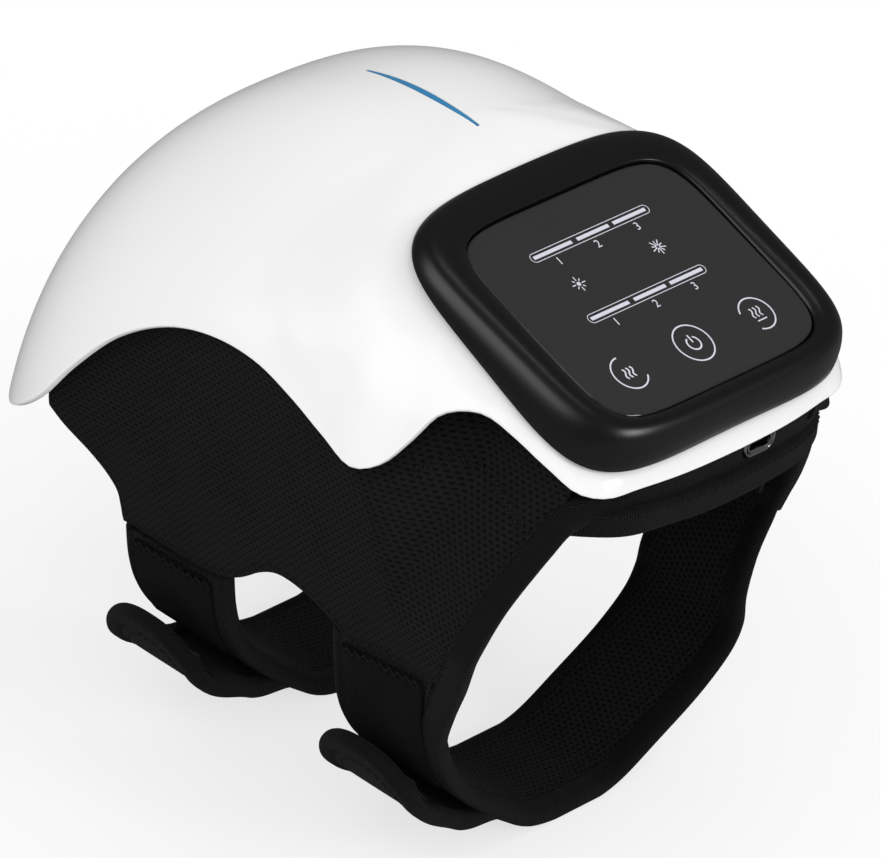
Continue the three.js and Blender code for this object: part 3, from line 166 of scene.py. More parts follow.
# Shader maths
class Field:
    """A number that varies over a surface; arithmetic on it adds Math nodes."""

    def __init__(self, paint, socket):
        self.paint = paint
        self.socket = socket

    def math(self, operation, *values):
        return self.paint.node("ShaderNodeMath", {"operation": operation}, dict(enumerate(values)))

    def __add__(self, other):
        return self.math("ADD", self, other)

    def __sub__(self, other):
        return self.math("SUBTRACT", self, other)

    def __rsub__(self, other):
        return self.math("SUBTRACT", other, self)

    def __mul__(self, other):
        return self.math("MULTIPLY", self, other)

    def __truediv__(self, other):
        return self.math("DIVIDE", self, other)

    def __pow__(self, other):
        return self.math("POWER", self, other)

    def __mod__(self, other):
        return self.math("FLOORED_MODULO", self, other)

    __radd__ = __add__
    __rmul__ = __mul__

    def floor(self):
        return self.math("FLOOR", self)

    def wave(self):
        return self.math("SINE", self)

    def ramp(self, low, high):
        settings = {"interpolation_type": "SMOOTHSTEP"}
        values = {"Value": self, "From Min": low, "From Max": high}
        return self.paint.node("ShaderNodeMapRange", settings, values)


class Recipe:
    """A node tree, and the one way to add a node to it."""

    def __init__(self, tree):
        self.tree = tree

    def feed(self, socket, value):
        if isinstance(value, Field):
            self.tree.links.new(value.socket, socket)
        elif socket.type == "RGBA" and len(value) == 3:
            socket.default_value = (*value, 1)
        else:
            socket.default_value = value

    def node(self, kind, settings=None, values=None, out=0):
        node = self.tree.nodes.new(kind)
        for key, value in (settings or {}).items():
            setattr(node, key, value)
        for key, value in (values or {}).items():
            self.feed(node.inputs[key], value)
        return Field(self, node.outputs[out])


class Paint(Recipe):
    """A material and the nodes that make it."""

    def __init__(self, name, **sockets):
        self.material = bpy.data.materials.new(name)
        self.material.use_nodes = True
        super().__init__(self.material.node_tree)
        self.shader = self.tree.nodes["Principled BSDF"]
        self.output = self.tree.nodes["Material Output"]
        self.set(**sockets)

    def set(self, **sockets):
        for socket, value in sockets.items():
            self.feed(self.shader.inputs[socket.replace("_", " ")], value)

    def where(self):
        return self.node("ShaderNodeTexCoord", out="Object")

    def parts(self, vector):
        """The x, y and z of a vector, each as a field."""
        split = self.node("ShaderNodeSeparateXYZ", None, {"Vector": vector}).socket.node
        return [Field(self, output) for output in split.outputs]

    def flat(self):
        """Distances across and along the cloth, in millimetres."""
        return self.parts(self.node("ShaderNodeUVMap", {"uv_map": "flat"}))[:2]

    def upright(self):
        """Distances along the leg and up, in millimetres."""
        return [distance * (1 / MM) for distance in self.parts(self.where())[1:]]

    def noise(self, scale, detail=3.0, rough=0.5, vector=None):
        values = {"Vector": vector or self.where(), "Scale": scale, "Detail": detail, "Roughness": rough}
        return self.node("ShaderNodeTexNoise", None, values)

    def mix(self, share, first, second):
        """A colour between two; a Mix node keeps its colours in the sockets 6 and 7 and gives socket 2."""
        return self.node("ShaderNodeMix", {"data_type": "RGBA"}, {0: share, 6: first, 7: second}, 2)

    def bump(self, height, distance, strength=1.0):
        values = {"Height": height, "Distance": distance, "Strength": strength}
        self.feed(self.shader.inputs["Normal"], self.node("ShaderNodeBump", None, values))
        return self


def grey(level):
    """A linear grey from a display level of 0 to 255."""
    share = level / 255
    value = share / 12.92 if share <= 0.04045 else ((share + 0.055) / 1.055) ** 2.4
    return (value, value, value)


def display(red, green, blue):
    return tuple(grey(level)[0] for level in (red, green, blue))


def toned(colour, share):
    return tuple(share * part for part in colour)


def plastic(name, dark, light, roughness, speckle=900.0, dents=0.00002, **sockets):
    """Moulded plastic or lacquer: a faint cloudiness and a fine moulded skin."""
    paint = Paint(name, **sockets)
    cloud = paint.noise(14.0, 4.0)
    grain = paint.noise(speckle, 2.0)
    paint.set(Base_Color=paint.mix(cloud, dark, light), Roughness=roughness + (cloud - 0.5) * 0.06)
    return paint.bump(grain, dents, 0.35)


def metal(name, dark, light, roughness, direction=(40.0, 900.0, 900.0)):
    """Drawn or pressed metal with fine lines along one direction."""
    paint = Paint(name, Metallic=1.0)
    values = {0: paint.where(), 1: direction}
    stretched = paint.node("ShaderNodeVectorMath", {"operation": "MULTIPLY"}, values)
    lines = paint.noise(1.0, 3.0, 0.6, stretched)
    paint.set(Base_Color=paint.mix(lines, dark, light), Roughness=roughness + (lines - 0.5) * 0.2)
    return paint.bump(lines, 0.00003, 0.3)


def cell_mask(across, along, pitch_across, pitch_along, reach_across, reach_along):
    """Offset oval cells: 1 in the middle of a cell, 0 on the yarn between cells."""
    row = (along / pitch_along).floor()
    x = (across / pitch_across + row * 0.5) % 1.0 - 0.5
    y = (along / pitch_along) % 1.0 - 0.5
    reach = (x / reach_across) ** 2 + (y / reach_along) ** 2
    return 1 - reach.ramp(0.35, 1.0)


def mesh_cloth(name, yarn, pit_shade, pitch_across=1.7, pitch_along=1.2, depth=0.0003, upright=False):
    """Knitted spacer mesh: small offset oval cells whose hollows are darkened with painted shade, with fuzz
    on the yarn.
    """
    paint = Paint(name, Sheen_Weight=0.02, Sheen_Roughness=0.5, Specular_IOR_Level=0.1)
    across, along = paint.upright() if upright else paint.flat()
    wobble = (paint.noise(220.0) - 0.5) * 0.5
    cells = cell_mask(across + wobble, along, pitch_across, pitch_along, 0.36, 0.3)
    fuzz = paint.noise(2600.0, 4.0, 0.65)
    cloud = paint.noise(45.0, 3.0)
    lit = paint.mix(fuzz * 0.6 + cloud * 0.4, toned(yarn, 0.72), toned(yarn, 1.3))
    # The cells take the second, darker colour: painted shade in the hollows of the mesh.
    paint.set(Base_Color=paint.mix(cells * 0.75, lit, pit_shade), Roughness=0.8 + fuzz * 0.15)
    return paint.bump((1 - cells) * 0.8 + fuzz * 0.25, depth)


def diamond_mesh(name, yarn, pit_shade, pitch=2.2, depth=0.0004):
    """Coarse open mesh whose cells run on the slant, their hollows darkened with painted shade."""
    paint = Paint(name, Sheen_Weight=0.02, Sheen_Roughness=0.5, Specular_IOR_Level=0.1)
    across, along = paint.flat()
    cells = cell_mask(across + along * 0.4, along - across * 0.3, pitch, pitch * 0.8, 0.3, 0.4)
    fuzz = paint.noise(2400.0, 4.0, 0.65)
    lit = paint.mix(fuzz, toned(yarn, 0.7), toned(yarn, 1.35))
    # The cells take the second, darker colour: painted shade in the hollows of the mesh.
    paint.set(Base_Color=paint.mix(cells * 0.8, lit, pit_shade), Roughness=0.82 + fuzz * 0.12)
    return paint.bump((1 - cells) + fuzz * 0.2, depth)


def ribbed_tape(name, dark, light, rib=0.82, depth=0.0003):
    """Binding tape woven with ribs across it."""
    paint = Paint(name, Sheen_Weight=0.03, Sheen_Roughness=0.4, Specular_IOR_Level=0.15)
    across, along = paint.flat()
    ribs = (along * (2 * math.pi / rib) + (paint.noise(160.0) - 0.5) * 1.6).wave() * 0.5 + 0.5
    yarn = (across * (2 * math.pi / 0.45)).wave() * 0.5 + 0.5
    fuzz = paint.noise(2200.0, 3.0, 0.6)
    tone = ribs * 0.6 + fuzz * 0.25 + paint.noise(60.0) * 0.15
    paint.set(Base_Color=paint.mix(tone, dark, light), Roughness=0.72 + fuzz * 0.2)
    return paint.bump(ribs * 0.75 + yarn * ribs * 0.2 + fuzz * 0.15, depth)


def pile_cloth(name, dark, light, depth=0.0007):
    """Brushed loop pile: soft tangled fluff with the odd lighter fibre."""
    paint = Paint(name, Sheen_Weight=0.02, Sheen_Roughness=0.6, Specular_IOR_Level=0.05)
    tangle = paint.noise(900.0, 6.0, 0.75)
    tuft = paint.node("ShaderNodeTexVoronoi", {"feature": "F1"}, {"Vector": paint.where(), "Scale": 1100.0})
    cloud = paint.noise(70.0, 3.0)
    tone = tangle * 0.55 + cloud * 0.45
    paint.set(Base_Color=paint.mix(tone.ramp(0.3, 0.75), dark, light), Roughness=0.95)
    return paint.bump(tangle * 0.7 + (1 - tuft) * 0.4, depth)


def hook_cloth(name, dark, light):
    """Hook tape: rows of small stiff hooks."""
    paint = Paint(name, Specular_IOR_Level=0.4, Roughness=0.55)
    across, along = paint.flat()
    hooks = cell_mask(across, along, 1.1, 1.0, 0.34, 0.3)
    paint.set(Base_Color=paint.mix(hooks, dark, light))
    return paint.bump(hooks + paint.noise(1500.0) * 0.1, 0.0007)


def circuit(name):
    """Solder mask with copper lines and bare pads."""
    paint = Paint(name, Roughness=0.42)
    lines = paint.node("ShaderNodeTexBrick", {"offset": 0.37}, {
        "Vector": paint.where(), "Scale": 190.0, "Mortar Size": 0.05, "Color1": grey(40), "Color2": grey(90),
        "Mortar": grey(255)})
    pads = paint.node("ShaderNodeTexVoronoi", {"feature": "F1"}, {"Vector": paint.where(), "Scale": 260.0})
    mask = paint.mix(lines, display(20, 84, 44), display(46, 130, 74))
    paint.set(Base_Color=paint.mix(1 - pads.ramp(0.12, 0.16), mask, display(200, 170, 90)))
    return paint.bump(paint.noise(900.0), 0.00004, 0.4)


def film(name):
    """Orange heater film with printed wavy tracks."""
    paint = Paint(name, Roughness=0.4)
    across, along = paint.parts(paint.where())[:2]
    tracks = ((across * 700 + (along * 260).wave() * 1.5).wave()).ramp(0.2, 0.45)
    paint.set(Base_Color=paint.mix(tracks, display(176, 92, 34), display(92, 44, 20)))
    return paint.bump(tracks + paint.noise(500.0) * 0.2, 0.00008, 0.5)


paints = {
    "shell": plastic("shell_lacquer", grey(233), grey(237), 0.2, 60.0, 0.000015,
                     Coat_Weight=0.2, Specular_IOR_Level=0.3),
    "bezel": plastic("bezel_lacquer", grey(3), grey(6), 0.33, 120.0, 0.00001, Specular_IOR_Level=0.75),
    "glass": plastic("panel_glass", grey(42), grey(45), 0.07, 40.0, 0.000004,
                     Coat_Weight=0.2, Coat_Roughness=0.03),
    "marks": plastic("printed_marks", display(196, 196, 208), display(214, 214, 226), 0.5),
    # In each mesh cloth the second, darker grey is painted shade for the cell hollows, not a yarn colour.
    "cover": mesh_cloth("cover_mesh", grey(21), grey(3), 2.3, 1.35, 0.0004, upright=True),
    "flap": mesh_cloth("flap_mesh", grey(23), grey(5), 1.5, 1.1),
    "liner": mesh_cloth("liner_knit", grey(21), grey(5), 1.3, 1.0, 0.0002),
    "strap": diamond_mesh("strap_mesh", grey(24), grey(3)),
    "tab": mesh_cloth("tab_weave", grey(24), grey(13), 1.0, 0.8, 0.00015),
    "tape": ribbed_tape("binding_tape", grey(9), grey(20)),
    "pile": pile_cloth("loop_pile", grey(3), grey(14)),
    "hook": hook_cloth("hook_tape", grey(14), grey(34)),
    "thread": plastic("seam_thread", grey(9), grey(17), 0.8, 3000.0, 0.0001),
    "chrome": metal("port_chrome", grey(150), grey(205), 0.16, (300.0, 300.0, 300.0)),
    "steel": metal("drawn_steel", grey(150), grey(190), 0.3),
    "spring": metal("spring_steel", grey(130), grey(175), 0.25),
    "brass": metal("turned_brass", display(150, 108, 48), display(196, 152, 82), 0.35),
    "emitter": metal("emitter_can", grey(150), grey(196), 0.25),
    "frame": plastic("frame_plastic", grey(56), grey(68), 0.5, 1500.0, 0.00006),
    "guide": plastic("guide_plastic", grey(215), grey(232), 0.45, 500.0),
    "board": circuit("circuit_board"),
    "heater": film("heater_film"),
    "cell": plastic("cell_wrap", display(30, 92, 150), display(44, 112, 172), 0.35, 300.0, 0.00008),
    "window": plastic("window_red", display(120, 16, 24), display(150, 26, 34), 0.12, 80.0, Coat_Weight=0.4),
    "inlay": plastic("inlay_blue", display(36, 116, 166), display(58, 146, 196), 0.22, 300.0,
                     Coat_Weight=0.4),
}


def dress(piece, paint, body, slot, *replaced):
    """Gives a new piece its material and its body, and hides the CAD parts it replaces."""
    piece.data.materials.clear()
    piece.data.materials.append(paints[paint].material)
    if body:
        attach(piece, body)
    if replaced:
        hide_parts(*replaced)
    return piece


# Making and finishing pieces
def only(piece):
    bpy.ops.object.select_all(action="DESELECT")
    piece.select_set(True)
    bpy.context.view_layer.objects.active = piece


def in_edit(piece, *steps):
    """Runs edit-mode operators on the whole of a piece."""
    only(piece)
    bpy.ops.object.mode_set(mode="EDIT")
    bpy.ops.mesh.select_all(action="SELECT")
    for step in steps:
        step()
    bpy.ops.object.mode_set(mode="OBJECT")


def modify(piece, kind, **settings):
    only(piece)
    modifier = piece.modifiers.new(kind.lower(), kind)
    for key, value in settings.items():
        setattr(modifier, key, value)
    bpy.ops.object.modifier_apply(modifier=modifier.name)
    return piece


def shade(piece, angle=0.7):
    only(piece)
    bpy.ops.object.shade_smooth_by_angle(angle=angle)
    return piece


def formed(name, points, outside=None, capped=False):
    """A grid primitive bent to the rows and columns of points, with its flat size kept as a UV map.
    Rows that close on themselves are joined. outside is a place that faces look away from."""
    points = np.asarray(points, float)
    rows, columns = points.shape[0] - 1, points.shape[1] - 1
    bpy.ops.object.select_all(action="DESELECT")
    bpy.ops.mesh.primitive_grid_add(x_subdivisions=columns, y_subdivisions=rows, size=2)
    piece = bpy.context.active_object
    piece.name = piece.data.name = name
    mesh = piece.data
    flat = np.empty(len(mesh.vertices) * 3)
    mesh.vertices.foreach_get("co", flat)
    c = np.rint((flat[0::3] + 1) / 2 * columns).astype(int)
    r = np.rint((flat[1::3] + 1) / 2 * rows).astype(int)
    mesh.vertices.foreach_set("co", placed(points[r, c]).ravel())
    over = np.concatenate([[0], np.cumsum(np.linalg.norm(np.diff(points, axis=1), axis=2).mean(0))])
    down = np.concatenate([[0], np.cumsum(np.linalg.norm(np.diff(points, axis=0), axis=2).mean(1))])
    corner = np.empty(len(mesh.loops), int)
    mesh.loops.foreach_get("vertex_index", corner)
    layer = mesh.uv_layers[0]
    layer.name = "flat"
    layer.data.foreach_set("uv", np.stack([over[c[corner]], down[r[corner]]], -1).ravel())
    mesh.update()
    steps = [lambda: bpy.ops.mesh.remove_doubles(threshold=1e-6)]
    if capped:
        steps.append(lambda: bpy.ops.mesh.fill_holes(sides=0))
    in_edit(piece, *steps)
    if outside is None:
        in_edit(piece, lambda: bpy.ops.mesh.normals_make_consistent(inside=False))
        return piece
    away = np.array([f.center for f in mesh.polygons]) - placed(outside)
    facing = np.array([f.normal for f in mesh.polygons])
    if (away * facing).sum(1).mean() < 0:
        in_edit(piece, bpy.ops.mesh.flip_normals)
    return piece


def rounded(width, thickness, radius, corner_steps=4, side_steps=1):
    """A closed rounded rectangle of (across, out) places round a middle at zero."""
    half_w, half_t = width / 2 - radius, thickness / 2 - radius
    places = []
    for k, (sx, sy) in enumerate(((1, 1), (-1, 1), (-1, -1), (1, -1))):
        for step in range(corner_steps + 1):
            angle = math.pi / 2 * (k + step / corner_steps)
            places.append((sx * half_w + radius * math.cos(angle), sy * half_t + radius * math.sin(angle)))
    full = []
    for k, place in enumerate(places):
        after = places[(k + 1) % len(places)]
        steps = side_steps if math.dist(place, after) > 2 * radius else 1
        full += [tuple(lerp(np.array(place), np.array(after), s / steps)) for s in range(steps)]
    return np.array(full + full[:1])


def swept(path, inward, normal, section, shrink_ends=0):
    """Rows of points where a closed section runs along a path."""
    path, inward, normal = (np.asarray(v, float) for v in (path, inward, normal))
    size = np.ones(len(path))
    for k in range(shrink_ends):
        size[k] = size[-1 - k] = math.sqrt(1 - (1 - k / shrink_ends) ** 2)
    a, b = section.T
    scaled = size[:, None, None]
    return path[:, None] + scaled * (a[None, :, None] * inward[:, None] + b[None, :, None] * normal[:, None])


def tangents(path):
    return unit(np.gradient(np.asarray(path, float), axis=0))


def stitched(name, path, normal, body, length=2.4, pitch=3.4, width=0.55, sway=0.0, lift=0.1):
    """A row of thread stitches along a path; sway turns it into a zigzag."""
    path, normal = np.asarray(path, float), np.asarray(normal, float)
    run = np.concatenate([[0], np.cumsum(np.linalg.norm(np.diff(path, axis=0), axis=1))])
    count = max(int(run[-1] / pitch), 2)

    def read(values, at):
        return np.array([np.interp(at, run, values[:, k]) for k in range(3)])

    bpy.ops.object.select_all(action="DESELECT")
    bpy.ops.mesh.primitive_uv_sphere_add(segments=6, ring_count=4, radius=1)
    seed = bpy.context.active_object
    ball = np.array([v.co for v in seed.data.vertices])
    faces = [tuple(f.vertices) for f in seed.data.polygons]
    bpy.data.objects.remove(seed)
    points, polygons = [], []
    for k in range(count):
        middle = (k + 0.5) * run[-1] / count
        a, b = read(path, middle - length / 2), read(path, middle + length / 2)
        out = unit(read(normal, middle))
        side = np.cross(out, unit(b - a))
        a, b = a + side * sway * (-1) ** k, b - side * sway * (-1) ** k
        along = (b - a) / 2
        side = np.cross(out, unit(along)) * width / 2
        polygons += [tuple(i + len(points) * len(ball) for i in face) for face in faces]
        centre = (a + b) / 2 + out * lift
        points.append(centre + ball[:, 2:] * along + ball[:, :1] * side + ball[:, 1:2] * out * width / 2)
    mesh = bpy.data.meshes.new(name)
    mesh.from_pydata(placed(np.vstack(points)).tolist(), [], polygons)
    piece = bpy.data.objects.new(name, mesh)
    bpy.context.collection.objects.link(piece)
    in_edit(piece, lambda: bpy.ops.mesh.normals_make_consistent(inside=False))
    shade(piece, 1.2)
    return dress(piece, "thread", body, "binding_tape")


def thicken(piece, wall):
    """Gives an outside skin a wall that goes inwards."""
    return modify(piece, "SOLIDIFY", thickness=wall * MM, offset=-1, use_even_offset=True)


def ease_edges(piece, width):
    sharp = math.radians(50)
    return modify(piece, "BEVEL", width=width * MM, segments=3, limit_method="ANGLE", angle_limit=sharp)


def cut(piece, cutter):
    modify(piece, "BOOLEAN", operation="DIFFERENCE", object=cutter, solver="MANIFOLD")
    bpy.data.objects.remove(cutter)
    return piece


# Dome and flange, met by rays from the middle of the knee
DOME_HALF_WIDTH, DOME_HEIGHT, DOME_TOP = 101.8, 120.5, 26.6
DOME_REAR, DOME_FRONT, DOME_CENTRE_Y = 95.9, 111.7, 97.3
PLAN_POWER, RISE_POWER = 2.5, 2.22
SHELL_LENGTH, SHELL_WALL = 213.5, 2.5
DOME_CENTRE = np.array([0, DOME_CENTRE_Y, DOME_TOP - DOME_HEIGHT])
PANEL_TILT = math.radians(18.6)
FLANGE_TOP_Y, FLANGE_TOP_Z, FLANGE_SLOPE = 67.0, 22.6, math.tan(math.radians(24.5))
FLANGE_HALF_WIDTH, FLANGE_CROWN, FLANGE_LIP = 60.0, 4.2 / 59.2**2, 6.0
BEZEL_HALF = (59.2, 47.0)
BEZEL_DOWN, BEZEL_CREST, BEZEL_POWER = -23.4, 1.8, 4.6
GLASS_HALF = (45.2, 36.0)
GLASS_DOWN, GLASS_POWER, GLASS_THICKNESS = -21.7, 6.0, 1.8
FLANGE_MIDDLE_Y = 0.36 * FLANGE_TOP_Y
# Where the dome takes over from the flange, as shares of the flange's size: above the panel and beside it
DOME_ALONE = (1.2, 1.62)
FLANGE_ALONE = (0.97, 1.06)


def ray_at(azimuth, polar):
    return np.stack([-np.sin(azimuth) * np.sin(polar), -np.cos(azimuth) * np.sin(polar), np.cos(polar)], -1)


def dome_reach(ray):
    length = np.where(ray[..., 1] > 0, DOME_REAR, DOME_FRONT)
    plan = np.abs(ray[..., 0] / DOME_HALF_WIDTH) ** PLAN_POWER + np.abs(ray[..., 1] / length) ** PLAN_POWER
    rise = np.maximum(ray[..., 2], 0) / DOME_HEIGHT
    return (plan ** (RISE_POWER / PLAN_POWER) + rise**RISE_POWER) ** (-1 / RISE_POWER)


def flange_reach(ray):
    a = FLANGE_CROWN * ray[..., 0] ** 2
    b = ray[..., 2] - FLANGE_SLOPE * ray[..., 1]
    c = DOME_CENTRE[2] - FLANGE_TOP_Z + FLANGE_SLOPE * (FLANGE_TOP_Y - DOME_CENTRE[1])
    curved = (-b + np.sqrt(np.maximum(b * b - 4 * a * c, 0))) / np.where(a > 1e-12, 2 * a, 1)
    return np.where(a > 1e-12, curved, -c / b)


def flange_share(at):
    across = np.abs(at[..., 0]) / FLANGE_HALF_WIDTH
    up = np.maximum(at[..., 1] - FLANGE_MIDDLE_Y, 0) / (FLANGE_TOP_Y - FLANGE_MIDDLE_Y + 4)
    total = across**BEZEL_POWER + up**BEZEL_POWER
    sideness = across**BEZEL_POWER / np.maximum(total, 1e-12)
    end, start = lerp(*DOME_ALONE, sideness), lerp(*FLANGE_ALONE, sideness)
    left = np.clip((end - total ** (1 / BEZEL_POWER)) / (end - start), 0, 1)
    return 0.5 * left + 0.5 * left * left * (3 - 2 * left)


def shell_reach(azimuth, polar):
    ray = ray_at(azimuth, polar)
    dome = dome_reach(ray)
    front = ray[..., 1] < 0
    safe = np.where(front[..., None], ray, [0, -1, 0])
    flange = flange_reach(safe)
    share = np.where(front, flange_share(safe * flange[..., None] + DOME_CENTRE), 0)
    return lerp(dome, flange, share) * (share > 0) + dome * (share <= 0), share


# Rim of the left half, from the front lip past notch, wing, side arch and foot to the rear arch
RIM_SHARES = [
    [0, -0.115, -0.174], [-0.216, -0.113, -0.174], [-0.393, -0.107, -0.171], [-0.511, -0.101, -0.168],
    [-0.575, -0.073, -0.159], [-0.597, -0.019, -0.134], [-0.612, 0.037, -0.102], [-0.634, 0.089, -0.08],
    [-0.702, 0.126, -0.096], [-0.751, 0.152, -0.183], [-0.781, 0.178, -0.257], [-0.819, 0.206, -0.279],
    [-0.831, 0.258, -0.237], [-0.831, 0.314, -0.195], [-0.825, 0.384, -0.163], [-0.828, 0.454, -0.163],
    [-0.845, 0.52, -0.191], [-0.867, 0.59, -0.274], [-0.89, 0.651, -0.407], [-0.884, 0.698, -0.531],
    [-0.825, 0.752, -0.627], [-0.727, 0.792, -0.68], [-0.609, 0.824, -0.664], [-0.472, 0.852, -0.581],
    [-0.295, 0.871, -0.481], [0, 0.885, -0.415],
]
MERIDIANS = np.array([0.045, 0.09, 0.14, 0.2, 0.28, 0.34, 0.4, 0.5, 0.59, 0.68, 0.76, 0.84, 0.91, 0.96, 1])
RIM_STEPS = 36
RIM_TIMES = 4
MERIDIAN_TIMES = 4
FAIRING_PASSES = 6
EASING_PASSES = 60
EASED_NEAR_FOLD = (0.02, 0.3)
EASED_OFF_POLE = (0.03, 0.12)
LIP_ENDS = (math.radians(32), math.radians(50))


def rim_angles(times):
    places = np.array(RIM_SHARES) * [DOME_HALF_WIDTH, SHELL_LENGTH, DOME_HEIGHT]
    left = unit(smooth_line(unit(places - DOME_CENTRE), RIM_STEPS * times + 1))
    right = left[1:-1][::-1] * [-1, 1, 1]
    rays = np.vstack([left, right])
    return np.arctan2(-rays[:, 0], -rays[:, 1]), np.arccos(rays[:, 2])


def neighbour_mean(field):
    above = np.vstack([field[:1], field[:-1]])
    below = np.vstack([field[1:], field[-1:]])
    return (above + below + np.roll(field, 1, 1) + np.roll(field, -1, 1)) / 4


def faired_reaches():
    azimuth, polar = rim_angles(1)
    lip = FLANGE_LIP / DOME_FRONT * (1 - smooth(*LIP_ENDS, np.abs(azimuth)))
    reach, share = shell_reach(azimuth, np.minimum(polar * MERIDIANS[:, None], polar - lip))
    free = (share > 0) & (share < 1)
    for _ in range(FAIRING_PASSES):
        reach = np.where(free, neighbour_mean(reach), reach)
    return reach, free


def shell_skin():
    """Rows of the shell's outside, with the run from dome to flange smoothed over as one easy curve."""
    reach, free = faired_reaches()
    reach = np.vstack([np.full(2 * RIM_STEPS, DOME_HEIGHT), reach])
    reach = finer(finer(reach, MERIDIAN_TIMES, False).T, RIM_TIMES, True).T
    near = finer(finer(np.vstack([free[:1], free]), MERIDIAN_TIMES, False).T, RIM_TIMES, True).T
    near = np.clip(near, 0, 1)
    easy = reach
    for _ in range(EASING_PASSES):
        easy = neighbour_mean(easy)
        near = neighbour_mean(near)
    share = finer(np.concatenate([[0], MERIDIANS]), MERIDIAN_TIMES, False)
    reach = lerp(reach, easy, smooth(*EASED_NEAR_FOLD, near) * smooth(*EASED_OFF_POLE, share)[:, None])
    azimuth, polar = rim_angles(RIM_TIMES)
    skin = ray_at(azimuth, polar * share[:, None]) * reach[..., None] + DOME_CENTRE
    return np.concatenate([skin, skin[:, :1]], 1)


# Panel frame: across, down the panel and out of it
DOWN = np.array([0, -math.cos(PANEL_TILT), -math.sin(PANEL_TILT)])
OUT = np.array([0, -math.sin(PANEL_TILT), math.cos(PANEL_TILT)])


def on_panel(across, down, out):
    across, down, out = np.broadcast_arrays(*(np.asarray(v, float) for v in (across, down, out)))
    return across[..., None] * np.array([1, 0, 0]) + down[..., None] * DOWN + out[..., None] * OUT


def flange_out(across, down):
    drop = FLANGE_TOP_Z - FLANGE_SLOPE * FLANGE_TOP_Y - FLANGE_CROWN * across * across
    per_down = math.sin(PANEL_TILT) - FLANGE_SLOPE * math.cos(PANEL_TILT)
    return (drop + per_down * down) / (math.cos(PANEL_TILT) + FLANGE_SLOPE * math.sin(PANEL_TILT))


def squircle(half, centre, power, steps, grow=0.0):
    angle = np.linspace(0, 2 * math.pi, steps + 1)
    c, s = np.cos(angle), np.sin(angle)
    reach = (np.abs(c) ** power + np.abs(s) ** power) ** (-1 / power)
    return (half[0] + grow) * reach * c, centre + (half[1] + grow) * reach * s


PANEL_STEPS = 240
GUIDE_THICKNESS, BOARD_THICKNESS, LEDGE_THICKNESS = 2.2, 1.6, 1.6
LEDGE_OUT = -GLASS_THICKNESS - 2 * FIT - GUIDE_THICKNESS - FIT - BOARD_THICKNESS
LEDGE_INSET = -3
SKIRT = FIT + 2.0
INLAY_START, INLAY_END, INLAY_HALF = 84.4, 125.0, 1.05
INLAY_SLOT = ((-1, 4), (1, 4), (1, -6), (-1, -6), (-1, 4))


def around_glass(grow):
    """The outline of the glass, across and down the panel, grown by a margin."""
    return squircle(GLASS_HALF, GLASS_DOWN, GLASS_POWER, PANEL_STEPS, grow)


def crown_z(y):
    length = np.where(y > DOME_CENTRE_Y, DOME_REAR, DOME_FRONT)
    left = 1 - np.abs((y - DOME_CENTRE_Y) / length) ** RISE_POWER
    return DOME_CENTRE[2] + DOME_HEIGHT * left ** (1 / RISE_POWER)


def add_shell():
    shell = formed("shell_dome", shell_skin(), outside=DOME_CENTRE)
    ease_edges(thicken(shell, SHELL_WALL), 0.9)
    opening = around_glass(SKIRT + FIT)
    cut(shell, formed("cutter", [on_panel(*opening, out) for out in (30, -60)], capped=True))
    share = np.linspace(0, 1, 25)
    y = lerp(INLAY_START - FIT, INLAY_END + FIT, share)
    half = FIT + INLAY_HALF * (0.25 + 0.75 * np.sin(math.pi * share))
    slot = np.stack([np.stack([side * half, y, crown_z(y) + out], -1) for side, out in INLAY_SLOT], 1)
    cut(shell, formed("cutter", slot, capped=True))
    shade(shell, 0.55)
    return dress(shell, "shell", "massager", "shell_white", "outer_shell")


# The bezel's top from its outer edge to the glass: share of the way in, and share of the crest's height
BEZEL_INSETS = (0, 0.02, 0.1, 0.24, 0.42, 0.6, 0.78, 0.92, 0.985, 1)
BEZEL_RISES = (0.03, 0.2, 0.5, 0.78, 0.94, 1, 0.98, 0.9, 0.82, 0.72)


def add_bezel():
    outer = squircle(BEZEL_HALF, BEZEL_DOWN, BEZEL_POWER, PANEL_STEPS)
    glass, skirt, ledge = around_glass(FIT), around_glass(SKIRT), around_glass(LEDGE_INSET)
    rings = []
    for inset, rise in zip(finer(BEZEL_INSETS, 4, False), finer(BEZEL_RISES, 4, False)):
        a, d = (lerp(outer[i], glass[i], min(inset, 1)) for i in range(2))
        rings.append(on_panel(a, d, lerp(flange_out(a, d) + FIT, BEZEL_CREST, rise)))
    foot = np.minimum(LEDGE_OUT - LEDGE_THICKNESS, flange_out(*skirt) - SHELL_WALL)
    rings += [on_panel(*glass, LEDGE_OUT), on_panel(*ledge, LEDGE_OUT), on_panel(*ledge, foot)]
    rings += [on_panel(*skirt, foot), on_panel(*skirt, flange_out(*skirt) + FIT), rings[0]]
    bezel = shade(formed("bezel_ring", rings), 0.5)
    return dress(bezel, "bezel", "massager", "bezel_black", "panel_bezel")


GLASS_EDGE = [
    (-1.1, 0.0), (-0.7, 0.0), (-0.45, -0.03), (-0.2, -0.14), (-0.05, -0.32), (0, -0.6), (0, -GLASS_THICKNESS),
]


def add_glass():
    rings = [on_panel(*around_glass(inset), out) for inset, out in GLASS_EDGE]
    glass = shade(formed("touch_glass_pane", rings, capped=True), 0.5)
    return dress(glass, "glass", "massager", "panel_glass", "touch_glass")


